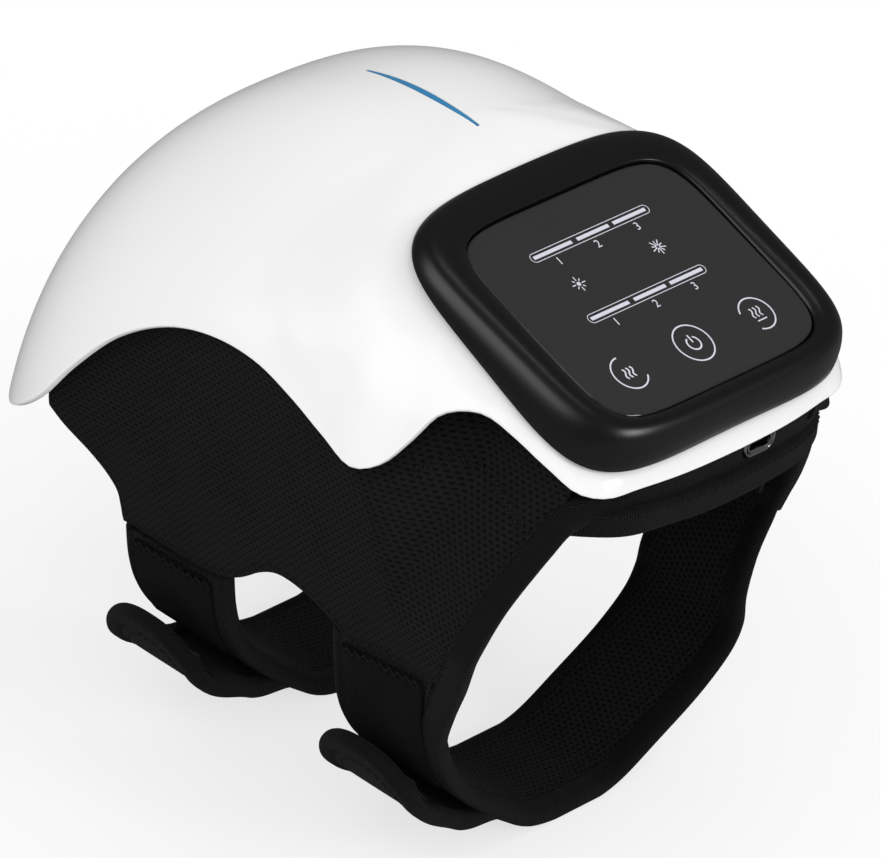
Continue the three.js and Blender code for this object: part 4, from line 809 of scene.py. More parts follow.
# Printed marks: rings, level bars and plain symbols, as thin lines on the glass
MARK_OUT, MARK_THICKNESS = 0.02, 0.05
KEY_PITCH = 27.1
KEY_RING, SIDE_RING, RING_LINE, SIGN_LINE, RAY_LINE = 6.3, 5.57, 0.46, 0.5, 0.34
BAR_HALF_HEIGHT, BAR_LINE, BAR_FILL = 1.5, 0.22, 1.15
BARS = ((-42.9, 24.6), (-19.2, 24.5))
BAR_PARTS = ((-23.5, -7.7), (-5.5, 7.8), (9.7, 23.3))
NUMBER_ROWS = ((-39.0, (-16.6, -0.5, 16.2)), (-15.3, (-16.7, 0, 16.4)))
SUN, SPARK = (-17.3, -30.4), (16.5, -30.8)


def printed(points, width, closed=False):
    """A line of even width on the glass, from (across, down) places."""
    line = np.array(points, float)
    along = tangents(np.vstack([line[-2:-1], line, line[1:2]]))[1:-1] if closed else tangents(line)
    side = np.stack([-along[:, 1], along[:, 0]], -1) * width / 2
    left, right = line + side, line - side
    low, high = MARK_OUT, MARK_OUT + MARK_THICKNESS
    corners = ((left, high), (right, high), (right, low), (left, low), (left, high))
    rows = np.stack([on_panel(p[:, 0], p[:, 1], out) for p, out in corners], 1)
    return formed("mark", rows, capped=not closed)


def arc(centre, radius, first, last, steps=48):
    angle = np.radians(np.linspace(first, last, steps))
    return np.stack([centre[0] + radius * np.cos(angle), centre[1] - radius * np.sin(angle)], -1)


def slot_outline(half_width, half_height, down):
    run = half_width - half_height
    right = arc((run, down), half_height, 90, -90, 12)
    left = arc((-run, down), half_height, -90, -270, 12)
    return np.vstack([right, left, right[:1]])


def heat_lines(centre, count=3, height=3.4, gap=1.5):
    t = np.linspace(0, 1, 14)
    for k in range(count):
        x = centre[0] + (k - 1) * gap + 0.45 * np.sin(t * 2 * math.pi)
        yield np.stack([x, centre[1] + height * (t - 0.5)], -1)


def burst(centre, inner, outer, rays=8, first=0.0):
    for k in range(rays):
        angle = math.radians(first + 360 * k / rays)
        heading = np.array([math.cos(angle), math.sin(angle)])
        reach = outer if k % 2 == 0 else 0.8 * outer
        yield np.array([np.array(centre) + heading * inner, np.array(centre) + heading * reach])


def number(text, across, down, height=2.7):
    bpy.ops.object.select_all(action="DESELECT")
    bpy.ops.object.text_add()
    letter = bpy.context.active_object
    letter.data.body = text
    letter.data.size = height * 1.4 * MM
    letter.data.extrude = 0.025 * MM
    letter.data.align_x = "CENTER"
    letter.data.align_y = "CENTER"
    only(letter)
    bpy.ops.object.convert(target="MESH")
    origin = Vector(placed(on_panel(across, down, MARK_OUT + 0.03)))
    turn = Matrix((Vector((1, 0, 0)), Vector(-DOWN), Vector(OUT))).transposed().to_4x4()
    letter.data.transform(Matrix.Translation(origin) @ turn)
    return letter


def add_marks():
    pieces = [printed(arc((0, 0), KEY_RING, 0, 360, 72), RING_LINE, True)]
    strokes = [
        (arc((-KEY_PITCH, 0), SIDE_RING, 90, 330), RING_LINE),
        (arc((KEY_PITCH, 0), SIDE_RING, 160, -120), RING_LINE),
        (arc((0, 0.1), 2.25, 60, -240), SIGN_LINE),
        ([(0, -2.9), (0, -1.4), (0, -0.2)], SIGN_LINE),
    ]
    strokes += [(line, SIGN_LINE) for line in heat_lines((-KEY_PITCH, 0))]
    strokes += [(line, 0.42) for line in heat_lines((KEY_PITCH, -0.5))]
    strokes.append(([(KEY_PITCH - 1.9, 2.3), (KEY_PITCH, 2.3), (KEY_PITCH + 1.9, 2.3)], 0.4))
    strokes += [(line, RAY_LINE) for line in burst(SUN, 1.2, 2.6)]
    strokes += [(line, RAY_LINE) for line in burst(SPARK, 0.5, 2.7, 10, 18)]
    strokes.append((arc(SUN, 0.35, 0, 350, 24), 0.7))
    for down, half in BARS:
        strokes.append((slot_outline(half, BAR_HALF_HEIGHT, down), BAR_LINE))
        for first, last in BAR_PARTS:
            strokes.append(([(first, down), (0.5 * (first + last), down), (last, down)], BAR_FILL))
    pieces += [printed(line, width) for line, width in strokes]
    for row, places in NUMBER_ROWS:
        pieces += [number(str(k + 1), across, row) for k, across in enumerate(places)]
    only(pieces[0])
    for piece in pieces:
        piece.select_set(True)
    bpy.ops.object.join()
    marks = pieces[0]
    marks.name = marks.data.name = "panel_marks"
    return dress(marks, "marks", "massager", "guide_white")


# Cloth round the leg
LOOP_HALF_WIDTH = 81.0
COVER_THICKNESS = 3.2
COVER_INSET = SHELL_WALL + 3 * FIT
LINER_BOTTOM = -78.0
LINER_THICKNESS = 4.0
FLAP_Y = -17.4
loop_half = read_curve([
    [-1, 0.17], [-0.985, 0.32], [-0.955, 0.46], [-0.91, 0.58], [-0.85, 0.69], [-0.78, 0.78], [-0.7, 0.855],
    [-0.62, 0.915], [-0.54, 0.96], [-0.46, 0.99], [-0.38, 1], [-0.3, 1], [-0.1, 1],
], LOOP_DEPTH, LOOP_HALF_WIDTH)
cover_front = read_curve([
    [-0.709, 0.047], [-0.633, 0.04], [-0.544, 0.019], [-0.443, 0], [-0.348, -0.014], [-0.278, -0.026],
    [-0.203, -0.036], [-0.101, -0.04],
], LOOP_DEPTH, SHELL_LENGTH)
cover_rear = read_curve([
    [-0.709, 0.583], [-0.633, 0.584], [-0.582, 0.586], [-0.544, 0.594], [-0.5, 0.629], [-0.456, 0.68],
    [-0.392, 0.731], [-0.253, 0.746],
], LOOP_DEPTH, SHELL_LENGTH)
cover_shoulder = read_curve([
    [-0.475, 1], [-0.392, 0.969], [-0.304, 0.901], [-0.228, 0.809], [-0.165, 0.716], [-0.101, 0.667],
], LOOP_DEPTH, LOOP_HALF_WIDTH)
cover_corner = read_curve([
    [-0.08, 0.086], [-0.056, 0.049], [-0.023, 0.012], [0.019, 0],
], SHELL_LENGTH, LOOP_HALF_WIDTH)
cover_bottom = read_curve([
    [-0.019, -0.544], [0.141, -0.563], [0.187, -0.57], [0.234, -0.544], [0.29, -0.522], [0.347, -0.519],
    [0.403, -0.544], [0.45, -0.582], [0.496, -0.608], [0.553, -0.62],
], SHELL_LENGTH, LOOP_DEPTH)
tunnel_crown = read_curve([
    [-0.103, -0.256], [0.094, -0.196], [0.281, -0.108], [0.459, -0.076], [0.609, -0.12], [0.749, -0.228],
    [0.843, -0.354],
], SHELL_LENGTH, LOOP_DEPTH)


def dome_half(y, z):
    length = np.where(y > DOME_CENTRE_Y, DOME_REAR, DOME_FRONT)
    rise = np.maximum((z - DOME_CENTRE[2]) / DOME_HEIGHT, 0) ** RISE_POWER
    plan = np.maximum(1 - rise, 0) ** (PLAN_POWER / RISE_POWER)
    left = np.maximum(plan - np.abs((y - DOME_CENTRE_Y) / length) ** PLAN_POWER, 0)
    return DOME_HALF_WIDTH * left ** (1 / PLAN_POWER)


def cover_half(y, z):
    full = loop_half(z) + 5 * smooth(0.55 * SHELL_LENGTH, 0.74 * SHELL_LENGTH, y)
    corner = cover_corner(y) * smooth(-0.38 * LOOP_DEPTH, -0.215 * LOOP_DEPTH, z)
    return np.minimum(full, np.maximum(dome_half(y, z) - COVER_INSET, cover_shoulder(z) - corner))


# How far the right-hand cloth hangs in and back, and where, by depth and by place along the leg
COVER_LEAN, STRAP_LEAN = (9.0, 6.0), (7.4, 2.8)
LEAN_STARTS, LEAN_FADES, LEAN_DEEPENS = (0.14, 0.28), (0.56, 0.78), (0.33, 0.5)
LEAN_ALONG = (FLAP_Y, 0.26 * SHELL_LENGTH)


def lean(points, shift=COVER_LEAN):
    """At the front the right-hand cloth hangs in a little closer to the leg than the left."""
    points = np.array(points, float)
    x, y, z = points[..., 0], points[..., 1], -points[..., 2] / LOOP_DEPTH
    share = (smooth(*LEAN_STARTS, z) * (1 - smooth(*LEAN_FADES, z))
             * (1 - smooth(*LEAN_ALONG, y)) * np.clip(x / LOOP_HALF_WIDTH, 0, 1))
    points[..., 0] -= shift[0] * share
    points[..., 1] += shift[1] * (1 + 0.4 * smooth(*LEAN_DEEPENS, z)) * share
    return points


def side_rim():
    """The shell's lower edge on one side, from the front lip to the foot, always rearwards."""
    rim = shell_skin()[-1][:RIM_STEPS * RIM_TIMES + 1]
    places = [rim[0]]
    for place in rim[1:int(rim[:, 2].argmin())]:
        if place[1] > places[-1][1] + 0.2:
            places.append(place)
    return places


rim_height = read_curve([[p[1], p[2]] for p in side_rim()])
# The covers tuck in this far below the top of the flange
FLANGE_DROP = FLANGE_CROWN * 52**2 + SHELL_WALL / math.cos(math.radians(24.5)) + 3.8
TUCK_Z = -0.2 * LOOP_DEPTH


def under_flange(y):
    return FLANGE_TOP_Z + FLANGE_SLOPE * (y - FLANGE_TOP_Y) - FLANGE_DROP


def cover_points(down, over, side, out=0.0):
    """Places on the outside of a side cover, by share down from its tuck and share along it."""
    down, over = np.broadcast_arrays(np.asarray(down, float), np.asarray(over, float))
    guess = lerp(cover_front(TUCK_Z), cover_rear(TUCK_Z), over)
    top = np.minimum(np.minimum(rim_height(guess), -0.075 * LOOP_DEPTH) + 5, under_flange(guess))
    z = lerp(top, cover_bottom(guess), down)
    y = lerp(cover_front(z), cover_rear(z), over)
    soft = smooth(0.3, 0.6, down) * (1 - smooth(0.9, 1, down))
    folds = 0.5 * np.sin(y / 9 + z / 14) + 0.35 * np.sin(y / 5.3 - z / 7)
    half = cover_half(y, z) + out + soft * folds
    return lean(np.stack([side * half, y, z], -1))


bottom_edge = read_curve(cover_points(np.ones(61), np.linspace(0, 1, 61), -1)[:, 1:])
COVER_ROWS, COVER_COLUMNS = 34, 96


def cover_normal(down, over, side):
    step = 0.01
    a = cover_points(down + step, over, side) - cover_points(down - step, over, side)
    b = cover_points(down, over + step, side) - cover_points(down, over - step, side)
    normal = unit(np.cross(a, b))
    return normal * np.sign(normal[:, :1] * side)


def add_cover(side, name):
    points = cover_points(*share_grid(COVER_ROWS, COVER_COLUMNS), side)
    cover = thicken(formed(f"cover_{name}", points, outside=(0, 60, -50)), COVER_THICKNESS)
    shade(ease_edges(cover, 1.2), 0.8)
    dress(cover, "cover", "massager", "mesh_cloth", f"side_cover_{name}")


def add_cover_seam(name, side, height, over, *stitch):
    """Stitches along a cover at one share of its height; stitch is their length, pitch, width and sway."""
    down = np.full(len(over), height)
    path = cover_points(down, over, side, 0.1)
    stitched(name, path, cover_normal(down, over, side), "massager", *stitch)


# Knee pad: sewn channels along the leg
LINER_POWER = 2.2
OUTER_HALF = float(loop_half(LINER_BOTTOM)) - COVER_THICKNESS - 3 * FIT
LINER_FRONT, LINER_REAR = -14.0, 154.0
LINER_EDGE, LINER_HEM = 0.05, 0.04
LAMP_Y, LAMP_RADIUS = 68.0, 15.0
CHANNELS = 9


def arch(y, angle, grow):
    waist = 0.04 * LOOP_HALF_WIDTH * (1 - smooth(0, 0.2 * SHELL_LENGTH, y))
    half = OUTER_HALF - LINER_THICKNESS - waist + grow
    crown = tunnel_crown(y) + grow
    c, s = np.cos(angle), np.sin(angle)
    x = half * np.sign(c) * np.abs(c) ** (2 / LINER_POWER)
    return np.stack([x, y, LINER_BOTTOM + (crown - LINER_BOTTOM) * np.abs(s) ** (2 / LINER_POWER)], -1)


def liner_surface(down, over, grow):
    angle = math.pi * over
    low = np.abs(np.cos(angle)) ** 8
    aside = np.abs(np.cos(angle)) ** 1.3
    front = lerp(FLAP_Y + COVER_THICKNESS + 2 * FIT, float(cover_front(LINER_BOTTOM)) + 4, aside)
    rear = lerp(LINER_REAR, float(cover_rear(LINER_BOTTOM)) - FIT, low)
    return lean(arch(lerp(front, rear, down), angle, grow))


def add_liner():
    down, over = share_grid(60, 90)
    edge = (smooth(0, LINER_EDGE, down) * smooth(0, LINER_EDGE, 1 - down)
            * smooth(0, LINER_HEM, over) * smooth(0, LINER_HEM, 1 - over))
    spread = np.hypot(liner_surface(down, over, 0)[..., 0], lerp(LINER_FRONT, LINER_REAR, down) - LAMP_Y)
    round_lamp = smooth(LAMP_RADIUS + 1, LAMP_RADIUS + 7, spread)
    channel = np.abs(np.sin(math.pi * CHANNELS * over)) ** 0.6
    puff = (0.25 + 0.75 * channel) * edge * round_lamp
    inner = liner_surface(down, over, 0.9 - 1.9 * puff)
    outer = liner_surface(down, over, LINER_THICKNESS - 0.6 * (1 - edge))
    rows = np.concatenate([outer, inner[:, ::-1], outer[:, :1]], 1)
    pad = formed("knee_pad", rows, capped=True)
    bpy.ops.mesh.primitive_cylinder_add(vertices=48, radius=(LAMP_RADIUS + FIT) * MM, depth=0.04,
                                        location=placed([0, LAMP_Y, float(tunnel_crown(LAMP_Y))]))
    cut(pad, bpy.context.active_object)
    shade(pad, 0.7)
    dress(pad, "liner", "massager", "liner_cloth", "knee_liner")


# Front flap, charging port and edge bindings
PORT = (14.0, -27.2)
PORT_HALF = (6.8, 3.9)
FLAP_TOP, FLAP_BOTTOM, FLAP_HALF_WIDTH = -22.4, -36.2, 45.4
FLAP_CROWN, FLAP_TURN = 0.8, 4.5
# The port ring's section: inset from the oval, and depth behind its face
RING_SECTION = [
    (-1.4, 6.8), (0, 6.8), (0, 0.9), (-0.15, 0.35), (-0.5, 0.05), (-0.9, 0.05), (-1.25, 0.35), (-1.4, 0.9),
]


def flap_points(down, over):
    across = 2 * over - 1
    y = FLAP_Y - FLAP_CROWN * np.sin(math.pi * down) + FLAP_TURN * np.abs(across) ** 3
    return np.stack([across * FLAP_HALF_WIDTH, y, lerp(FLAP_TOP, FLAP_BOTTOM, down)], -1)


def oval(grow, steps=48):
    half_w, half_h = PORT_HALF[0] + grow, PORT_HALF[1] + grow
    run = half_w - half_h
    angle = np.linspace(0, 2 * math.pi, steps + 1)
    c, s = np.cos(angle), np.sin(angle)
    return PORT[0] + run * np.sign(np.where(np.abs(c) < 1e-9, 0, c)) + half_h * c, PORT[1] + half_h * s


def add_flap():
    flap = formed("front_flap_cloth", flap_points(*share_grid(16, 72)), outside=(0, 60, -30))
    thicken(flap, COVER_THICKNESS)
    x, z = oval(FIT)
    hole = [np.stack([x, np.full_like(x, y), z], -1) for y in (FLAP_Y - 6, FLAP_Y + 9)]
    cut(flap, formed("cutter", hole, capped=True))
    shade(flap, 0.7)
    dress(flap, "flap", "massager", "mesh_cloth", "front_flap")


def add_port_ring():
    rings = []
    face = FLAP_Y - FLAP_CROWN - 2 * FIT
    for inset, depth in RING_SECTION + RING_SECTION[:1]:
        x, z = oval(inset)
        rings.append(np.stack([x, np.full_like(x, face + depth), z], -1))
    ring = shade(formed("port_ring", rings), 0.6)
    dress(ring, "chrome", "massager", "port_chrome", "port_surround")


def binding(name, path, normal, width, thickness, steps, *replaced):
    """Tape sewn over an edge: a flattened roll that runs along a path, broad side to the normal."""
    line = smooth_line(path, steps)
    spread, at = np.linspace(0, 1, len(path)), np.linspace(0, 1, steps)
    out = np.stack([np.interp(at, spread, np.asarray(normal, float)[:, k]) for k in range(3)], -1)
    along = tangents(line)
    out = unit(out - (out * along).sum(1)[:, None] * along)
    section = rounded(width, thickness, min(TAPE_BULGE, thickness / 2 - 0.05), 5, 4)
    piece = shade(formed(name, swept(line, np.cross(out, along), out, section), capped=True), 0.9)
    dress(piece, "tape", "massager", "binding_tape", *replaced)
    return line, out, np.cross(out, along)


# Places along the front tapes as shares of the sizes below, and how far the tape faces sideways there
BODY_SIZES = np.array([LOOP_HALF_WIDTH, SHELL_LENGTH, LOOP_DEPTH])
BAND_SHARES = [
    [-0.7, -0.02, -0.211], [-0.61, -0.05, -0.213], [-0.474, -0.0759, -0.219], [-0.286, -0.0843, -0.225],
    [-0.074, -0.089, -0.231], [0.195, -0.0862, -0.234], [0.437, -0.0726, -0.24], [0.604, -0.0445, -0.243],
    [0.679, -0.0047, -0.259], [0.716, 0.0375, -0.291],
]
BAND_TURNS = [-0.8, -0.55, -0.27, -0.1, 0, 0.1, 0.35, 0.75, 1, 1]
CORNER_SHARES = [[0.716, -0.0412, -0.2063], [0.617, -0.0492, -0.1867], [0.494, -0.0656, -0.1677]]
CORNER_TURNS = ((0.75, 0.66), (0.5, 0.87), (0.3, 0.95))
EDGE_INSETS = {"left": (1.6, -1.2), "right": (2.4, 2.4)}
TAPE_WIDTH, TAPE_BULGE = 8.4, 1.9


def add_front_band():
    """The tape along the bottom of the flap, whose ends tuck behind the side covers."""
    turn = np.array(BAND_TURNS)
    normal = np.stack([turn, -np.sqrt(1 - turn**2) - 0.01, np.zeros(len(turn))], -1)
    path = np.array(BAND_SHARES) * BODY_SIZES
    line, out, side = binding("front_band", path, normal, TAPE_WIDTH, 5.4, 220, "front_binding")
    seam = line + out * 2.6 + side * 3.1
    stitched("front_band_stitch", seam[8:-8], out[8:-8], "massager", 2.0, 2.8, 0.45)


def add_edge_tape(side, name, root_tape):
    """The tape on the front edge of a side cover, from the lip down to the strap."""
    z = np.linspace(-83, -38, 9)
    y = cover_front(z)
    inward, back = EDGE_INSETS[name]
    edge = np.stack([side * (cover_half(y, z) - inward), y + back, z], -1)
    corner = np.array(CORNER_SHARES) * BODY_SIZES * [side, 1, 1]
    points = lean(np.vstack([edge, corner]))
    normal = np.array([[side, -0.12, 0]] * len(edge) + [[side * c, -s, 0] for c, s in CORNER_TURNS])
    if root_tape is not None:
        points = np.vstack([root_tape[0], points])
        normal = np.vstack([root_tape[1], normal])
    line, out, across = binding(f"cover_edge_{name}", points, normal, TAPE_WIDTH, 5.2, 300)
    seam = line + out * 2.5 + across * np.sign(across[:, 1:2].mean()) * 3.2
    stitched(f"cover_edge_stitch_{name}", seam[6:-6], out[6:-6], "massager", 2.0, 2.9, 0.45)


def add_rear_binding():
    points, normals = [], []
    for share in np.linspace(0.06, 0.94, 31):
        angle = math.pi * share
        low = abs(math.cos(angle)) ** 8
        edge = arch(np.float64(LINER_REAR), angle, LINER_THICKNESS)
        y = lerp(LINER_REAR, float(cover_rear(LINER_BOTTOM)), low)
        if abs(edge[0]) > OUTER_HALF / 2:
            y = max(y, float(cover_rear(edge[2])))
        points.append((edge[0], y + 3.4, edge[2]))
        normals.append((edge[0], 0, edge[2] - LINER_BOTTOM))
    binding("rear_binding_tape", points, unit(np.array(normals)), 7.6, 5.6, 240, "rear_binding")


# Straps
STRAP_WIDTH, STRAP_THICKNESS, STRAP_TAPE, STRAP_FOLD = 38.5, 4.6, 5.3, 9
STRAP_END, ROOT_START = 0.7455, 0.7465
THIGH_Y, CALF_Y = 26.0, 104.5
SEAM_LAP = 0.5
SEAM_TOP = -84.0
LOOP_PLACES = [
    [-0.532, 0.965], [-0.566, 0.94], [-0.633, 0.855], [-0.7, 0.795], [-0.755, 0.785], [-0.805, 0.745],
    [-0.867, 0.62], [-0.937, 0.4], [-0.985, 0.23], [-1, 0.12], [-1, 0], [-1, -0.12], [-0.985, -0.26],
    [-0.945, -0.4], [-0.9, -0.53], [-0.853, -0.65], [-0.805, -0.75], [-0.75, -0.83], [-0.69, -0.885],
    [-0.62, -0.925], [-0.575, -0.946], [-0.532, -0.965],
]
LOOP_COUNT, LOOP_EASING = 641, 13
loop_line = smooth_line([(x * LOOP_HALF_WIDTH, 0, z * LOOP_DEPTH) for z, x in LOOP_PLACES], LOOP_COUNT)
loop_line[:, 2] = np.maximum(loop_line[:, 2], -LOOP_DEPTH)
loop_shares = np.linspace(0, 1, LOOP_COUNT)
LOOP_LENGTH = float(np.linalg.norm(np.diff(loop_line, axis=0), axis=1).sum())
loop_run = tangents(loop_line)
loop_away = np.stack([-loop_run[:, 2], np.zeros(LOOP_COUNT), loop_run[:, 0]], -1)
loop_away *= np.where(((loop_line - [0, 0, SEAM_TOP]) * loop_away).sum(1) < 0, -1, 1)[:, None]
for axis in (0, 2):
    padded = np.pad(loop_away[:, axis], LOOP_EASING // 2, mode="edge")
    loop_away[:, axis] = np.convolve(padded, np.ones(LOOP_EASING) / LOOP_EASING, mode="valid")
loop_away = unit(loop_away)


def on_loop(share, y, offset):
    share, y, offset = np.broadcast_arrays(*(np.asarray(v, float) for v in (share, y, offset)))
    kept = np.clip(share, 0, 1)
    place = np.stack([np.interp(kept, loop_shares, loop_line[:, k]) for k in range(3)], -1)
    place = place + loop_normal(kept) * offset[..., None]
    place[..., 1] = y
    return lean(place, STRAP_LEAN)


def loop_normal(share):
    return unit(np.stack([np.interp(share, loop_shares, loop_away[:, k]) for k in range(3)], -1))


def share_at_height(z):
    """The place down the right-hand side of the loop, as a share of the loop, that lies at a height."""
    half = LOOP_COUNT // 2
    return np.interp(-np.asarray(z, float), -loop_line[:half, 2], loop_shares[:half])


def band(centre, section, start, end, offset, rows):
    """Rows of points of a strap piece: the section is (across the strap, out of the loop)."""
    run = np.linspace(0, 1, rows + 1)[:, None]
    y = centre + section[:, 0][None, :]
    share = lerp(start(y), end(y), run)
    return on_loop(share, y, offset(share) + section[:, 1][None, :])


def always(value):
    return lambda places: np.full(np.shape(places), float(value))


PATCH_WIDTH, PATCH_THICKNESS = STRAP_WIDTH - 9, 1.2
PILE_START, PILE_END, HOOK_START, HOOK_END = 0.79, 0.985, 0.8, 0.845
TAB_LIFTS = {"thigh": 4.8, "calf": 7.5}
TAB_START, TAB_END = 0.655, 0.885
TAB_MIDDLE, TAB_SINK = 2.0, 4.2
TAB_TIP, TAB_POWER = 21.0, 2.6
TAB_LEAVES, TAB_BELLIES, TAB_BEND = (0.655, 0.735), (0.72, 0.83), (0.715, 0.765)


def tab_rise(share, lift):
    """How far the tab stands off the strap: it leaves the strap's own cloth and bellies out."""
    level = lerp(-TAB_SINK, 2 * PATCH_THICKNESS + 3 * FIT, smooth(*TAB_LEAVES, share))
    return level + lift * smooth(*TAB_BELLIES, share)


def tab_outline(inset, steps=220):
    """Distances along and across of the tab's edge, from one corner round the tip to the other."""
    half = STRAP_WIDTH / 2 - inset
    length = (TAB_END - TAB_START) * LOOP_LENGTH - inset
    angle = np.linspace(-math.pi / 2, math.pi / 2, steps // 2)
    power = 2 / TAB_POWER
    x = length - TAB_TIP + TAB_TIP * np.abs(np.cos(angle)) ** power
    y = half * np.sign(np.sin(angle)) * np.abs(np.sin(angle)) ** power
    straight = np.linspace(0, length - TAB_TIP, steps // 4, endpoint=False)
    x = np.concatenate([straight, x, straight[::-1]])
    y = np.concatenate([np.full(len(straight), -half), y, np.full(len(straight), half)])
    return spaced(np.stack([x, y], -1), steps)


def on_tab(x, y, centre, out, lift):
    share = TAB_START + np.asarray(x) / LOOP_LENGTH
    return on_loop(share, centre + y, tab_rise(share, lift) + TAB_MIDDLE + out)


def tab_face(y):
    """How far the tab's faces lie from its middle, crowned across."""
    return 1.0 + 0.55 * (1 - (np.abs(y) / (STRAP_WIDTH / 2)) ** 4)


def add_tab(name, centre):
    body = f"{name}_strap_tab"
    lift = TAB_LIFTS[name]
    bend = [tuple(placed(on_loop(share, centre, 0))) for share in TAB_BEND]
    edge = tab_outline(2.6)
    rows = np.array([[lerp(edge[k], edge[-1 - k], s) for s in np.linspace(0, 1, 19)] for k in range(111)])
    x, y = rows[..., 0], rows[..., 1]
    outer, inner = (on_tab(x, y, centre, side * tab_face(y), lift) for side in (1, -1))
    rows = np.concatenate([outer, inner[:, ::-1], outer[:, :1]], 1)
    cloth = shade(formed(f"{name}_tab_cloth", rows, capped=True), 0.9)
    dress(cloth, "tab", None, "mesh_cloth", f"{name}_tab")
    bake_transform(cloth)
    line = tab_outline(3.1, 260)
    path = on_tab(line[:, 0], line[:, 1], centre, 0, lift)
    heading = tangents(line)
    within = line + np.stack([-heading[:, 1], heading[:, 0]], -1)
    inward = unit(on_tab(within[:, 0], within[:, 1], centre, 0, lift) - path)
    normal = unit(np.cross(tangents(path), inward))
    normal *= np.sign((normal * loop_normal(TAB_START + line[:, 0] / LOOP_LENGTH)).sum(1))[:, None]
    rows = swept(path, inward, normal, rounded(6.4, 5.0, 2.3, 6, 3), 6)
    roll = shade(formed(f"{name}_tab_roll", rows, capped=True), 0.9)
    dress(roll, "tape", None, "binding_tape")
    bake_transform(roll)
    seam = tab_outline(7.4, 240)
    share = TAB_START + seam[:, 0] / LOOP_LENGTH
    far = share > TAB_BEND[1]
    for side, face in ((1, "outer"), (-1, "inner")):
        path = on_tab(seam[:, 0], seam[:, 1], centre, side * tab_face(seam[:, 1]), lift)
        out = side * loop_normal(share)
        stitched(f"{name}_tab_stitch_{face}", path[far], out[far], body, 2.0, 2.9, 0.45)


def add_strap_tape(name, centre, side, ends, rows, width, finish):
    """Ribbed tape folded over one long edge of a strap."""
    section = rounded(width, STRAP_TAPE, STRAP_TAPE / 2 - 0.1, 5, 3)
    section = section + [side * (STRAP_WIDTH / 2 - width / 2 + 0.5), -STRAP_THICKNESS / 2]
    tape = shade(formed(name, band(centre, section, *ends, always(0), rows), capped=True), 0.9)
    finish(tape, "tape", "binding_tape")


def add_patch(name, centre, low, ends, rise, paint, body, slot):
    """A patch of pile or hooks on a strap; low is how far its back stands off the cloth."""
    section = rounded(PATCH_WIDTH, PATCH_THICKNESS, 0.5, 4, 8) + [0, low + PATCH_THICKNESS / 2 - 0.3]
    patch = shade(formed(f"{name}_cloth", band(centre, section, *ends, rise, 60), capped=True), 0.9)
    dress(patch, paint, body, slot, name)


def add_strap(name, centre):
    strap_body, tab_body = f"{name}_strap_band", f"{name}_strap_tab"

    def top(y):
        return share_at_height(bottom_edge(y) + SEAM_LAP)

    def left_top(y):
        return 1 - top(y)

    def pile_end(y):
        return np.minimum(PILE_END, left_top(y) - 1 / 160)

    def above_pile(share):
        return tab_rise(share, TAB_LIFTS[name]) - 2 * PATCH_THICKNESS - 3 * FIT

    hinge = on_loop(top(np.float64(centre)), centre, -STRAP_THICKNESS / 2)
    below = on_loop(top(np.float64(centre)) + STRAP_FOLD / LOOP_LENGTH, centre, -STRAP_THICKNESS / 2)

    def hung(piece, paint, slot, *replaced):
        """Cloth that hangs from the seam."""
        dress(piece, paint, None, slot, *replaced)
        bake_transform(piece)

    def sewn(piece, paint, slot, *replaced):
        """Cloth that stays with the left cover."""
        dress(piece, paint, "massager", slot, *replaced)

    section = rounded(STRAP_WIDTH - 3, STRAP_THICKNESS - 0.6, 1.8, 4, 6) + [0, -STRAP_THICKNESS / 2]
    hanging, standing = (top, always(STRAP_END)), (always(ROOT_START), left_top)
    for part, node, ends, rows, finish in (
        ("strap", "strap", hanging, 180, hung),
        ("root", "strap_root", standing, 90, sewn),
    ):
        points = band(centre, section, *ends, always(0), rows)
        cloth = shade(formed(f"{name}_{part}_cloth", points, capped=True), 0.9)
        finish(cloth, "strap", "mesh_cloth", f"{name}_{node}")
    for side, where, width in ((-1, "front", 8.2), (1, "rear", 4.6)):
        add_strap_tape(f"{name}_strap_edge_{where}", centre, side, hanging, 240, width, hung)
        if name == "calf" or where == "rear":
            add_strap_tape(f"{name}_root_edge_{where}", centre, side, standing, 120, width, sewn)
        across = centre + side * (STRAP_WIDTH / 2 - width + 0.2)
        share = np.linspace(float(top(np.float64(across))) + 0.03, 0.735, 200)
        for face, turn, out in (("inner", -1, -STRAP_THICKNESS - 0.32), ("outer", 1, 0.3)):
            path = on_loop(share, across - side * 0.9, out - turn * 0.35)
            away = loop_normal(share) * turn
            stitched(f"{name}_strap_stitch_{where}_{face}", path, away, strap_body, 2.0, 3.0, 0.45)
    add_patch(f"{name}_loop_patch", centre, FIT, (always(PILE_START), pile_end), always(0),
              "pile", "massager", "loop_cloth")
    y = np.linspace(centre - PATCH_WIDTH / 2, centre + PATCH_WIDTH / 2, 40)
    path = on_loop(pile_end(y), y, 1.6)
    stitched(f"{name}_patch_zigzag", path, loop_normal(pile_end(y)), "massager", 3.2, 1.5, 0.5, 1.3)
    add_patch(f"{name}_hook_patch", centre, 2 * FIT + PATCH_THICKNESS, (always(HOOK_START), always(HOOK_END)),
              above_pile, "hook", tab_body, "hook_tape")
    add_tab(name, centre)


def thigh_root_edge():
    """Places and normals along the front of the thigh strap's root, where the left cover's tape starts."""
    y = THIGH_Y - STRAP_WIDTH / 2 + 3.6
    low, high = (1 - float(share_at_height(z)) for z in (-106.0, -95.5))
    share = np.append(np.linspace(ROOT_START, low, 10), high)
    y = np.append(np.full(10, y), y - 3.4)
    return on_loop(share, y, -STRAP_THICKNESS / 2), loop_normal(share)


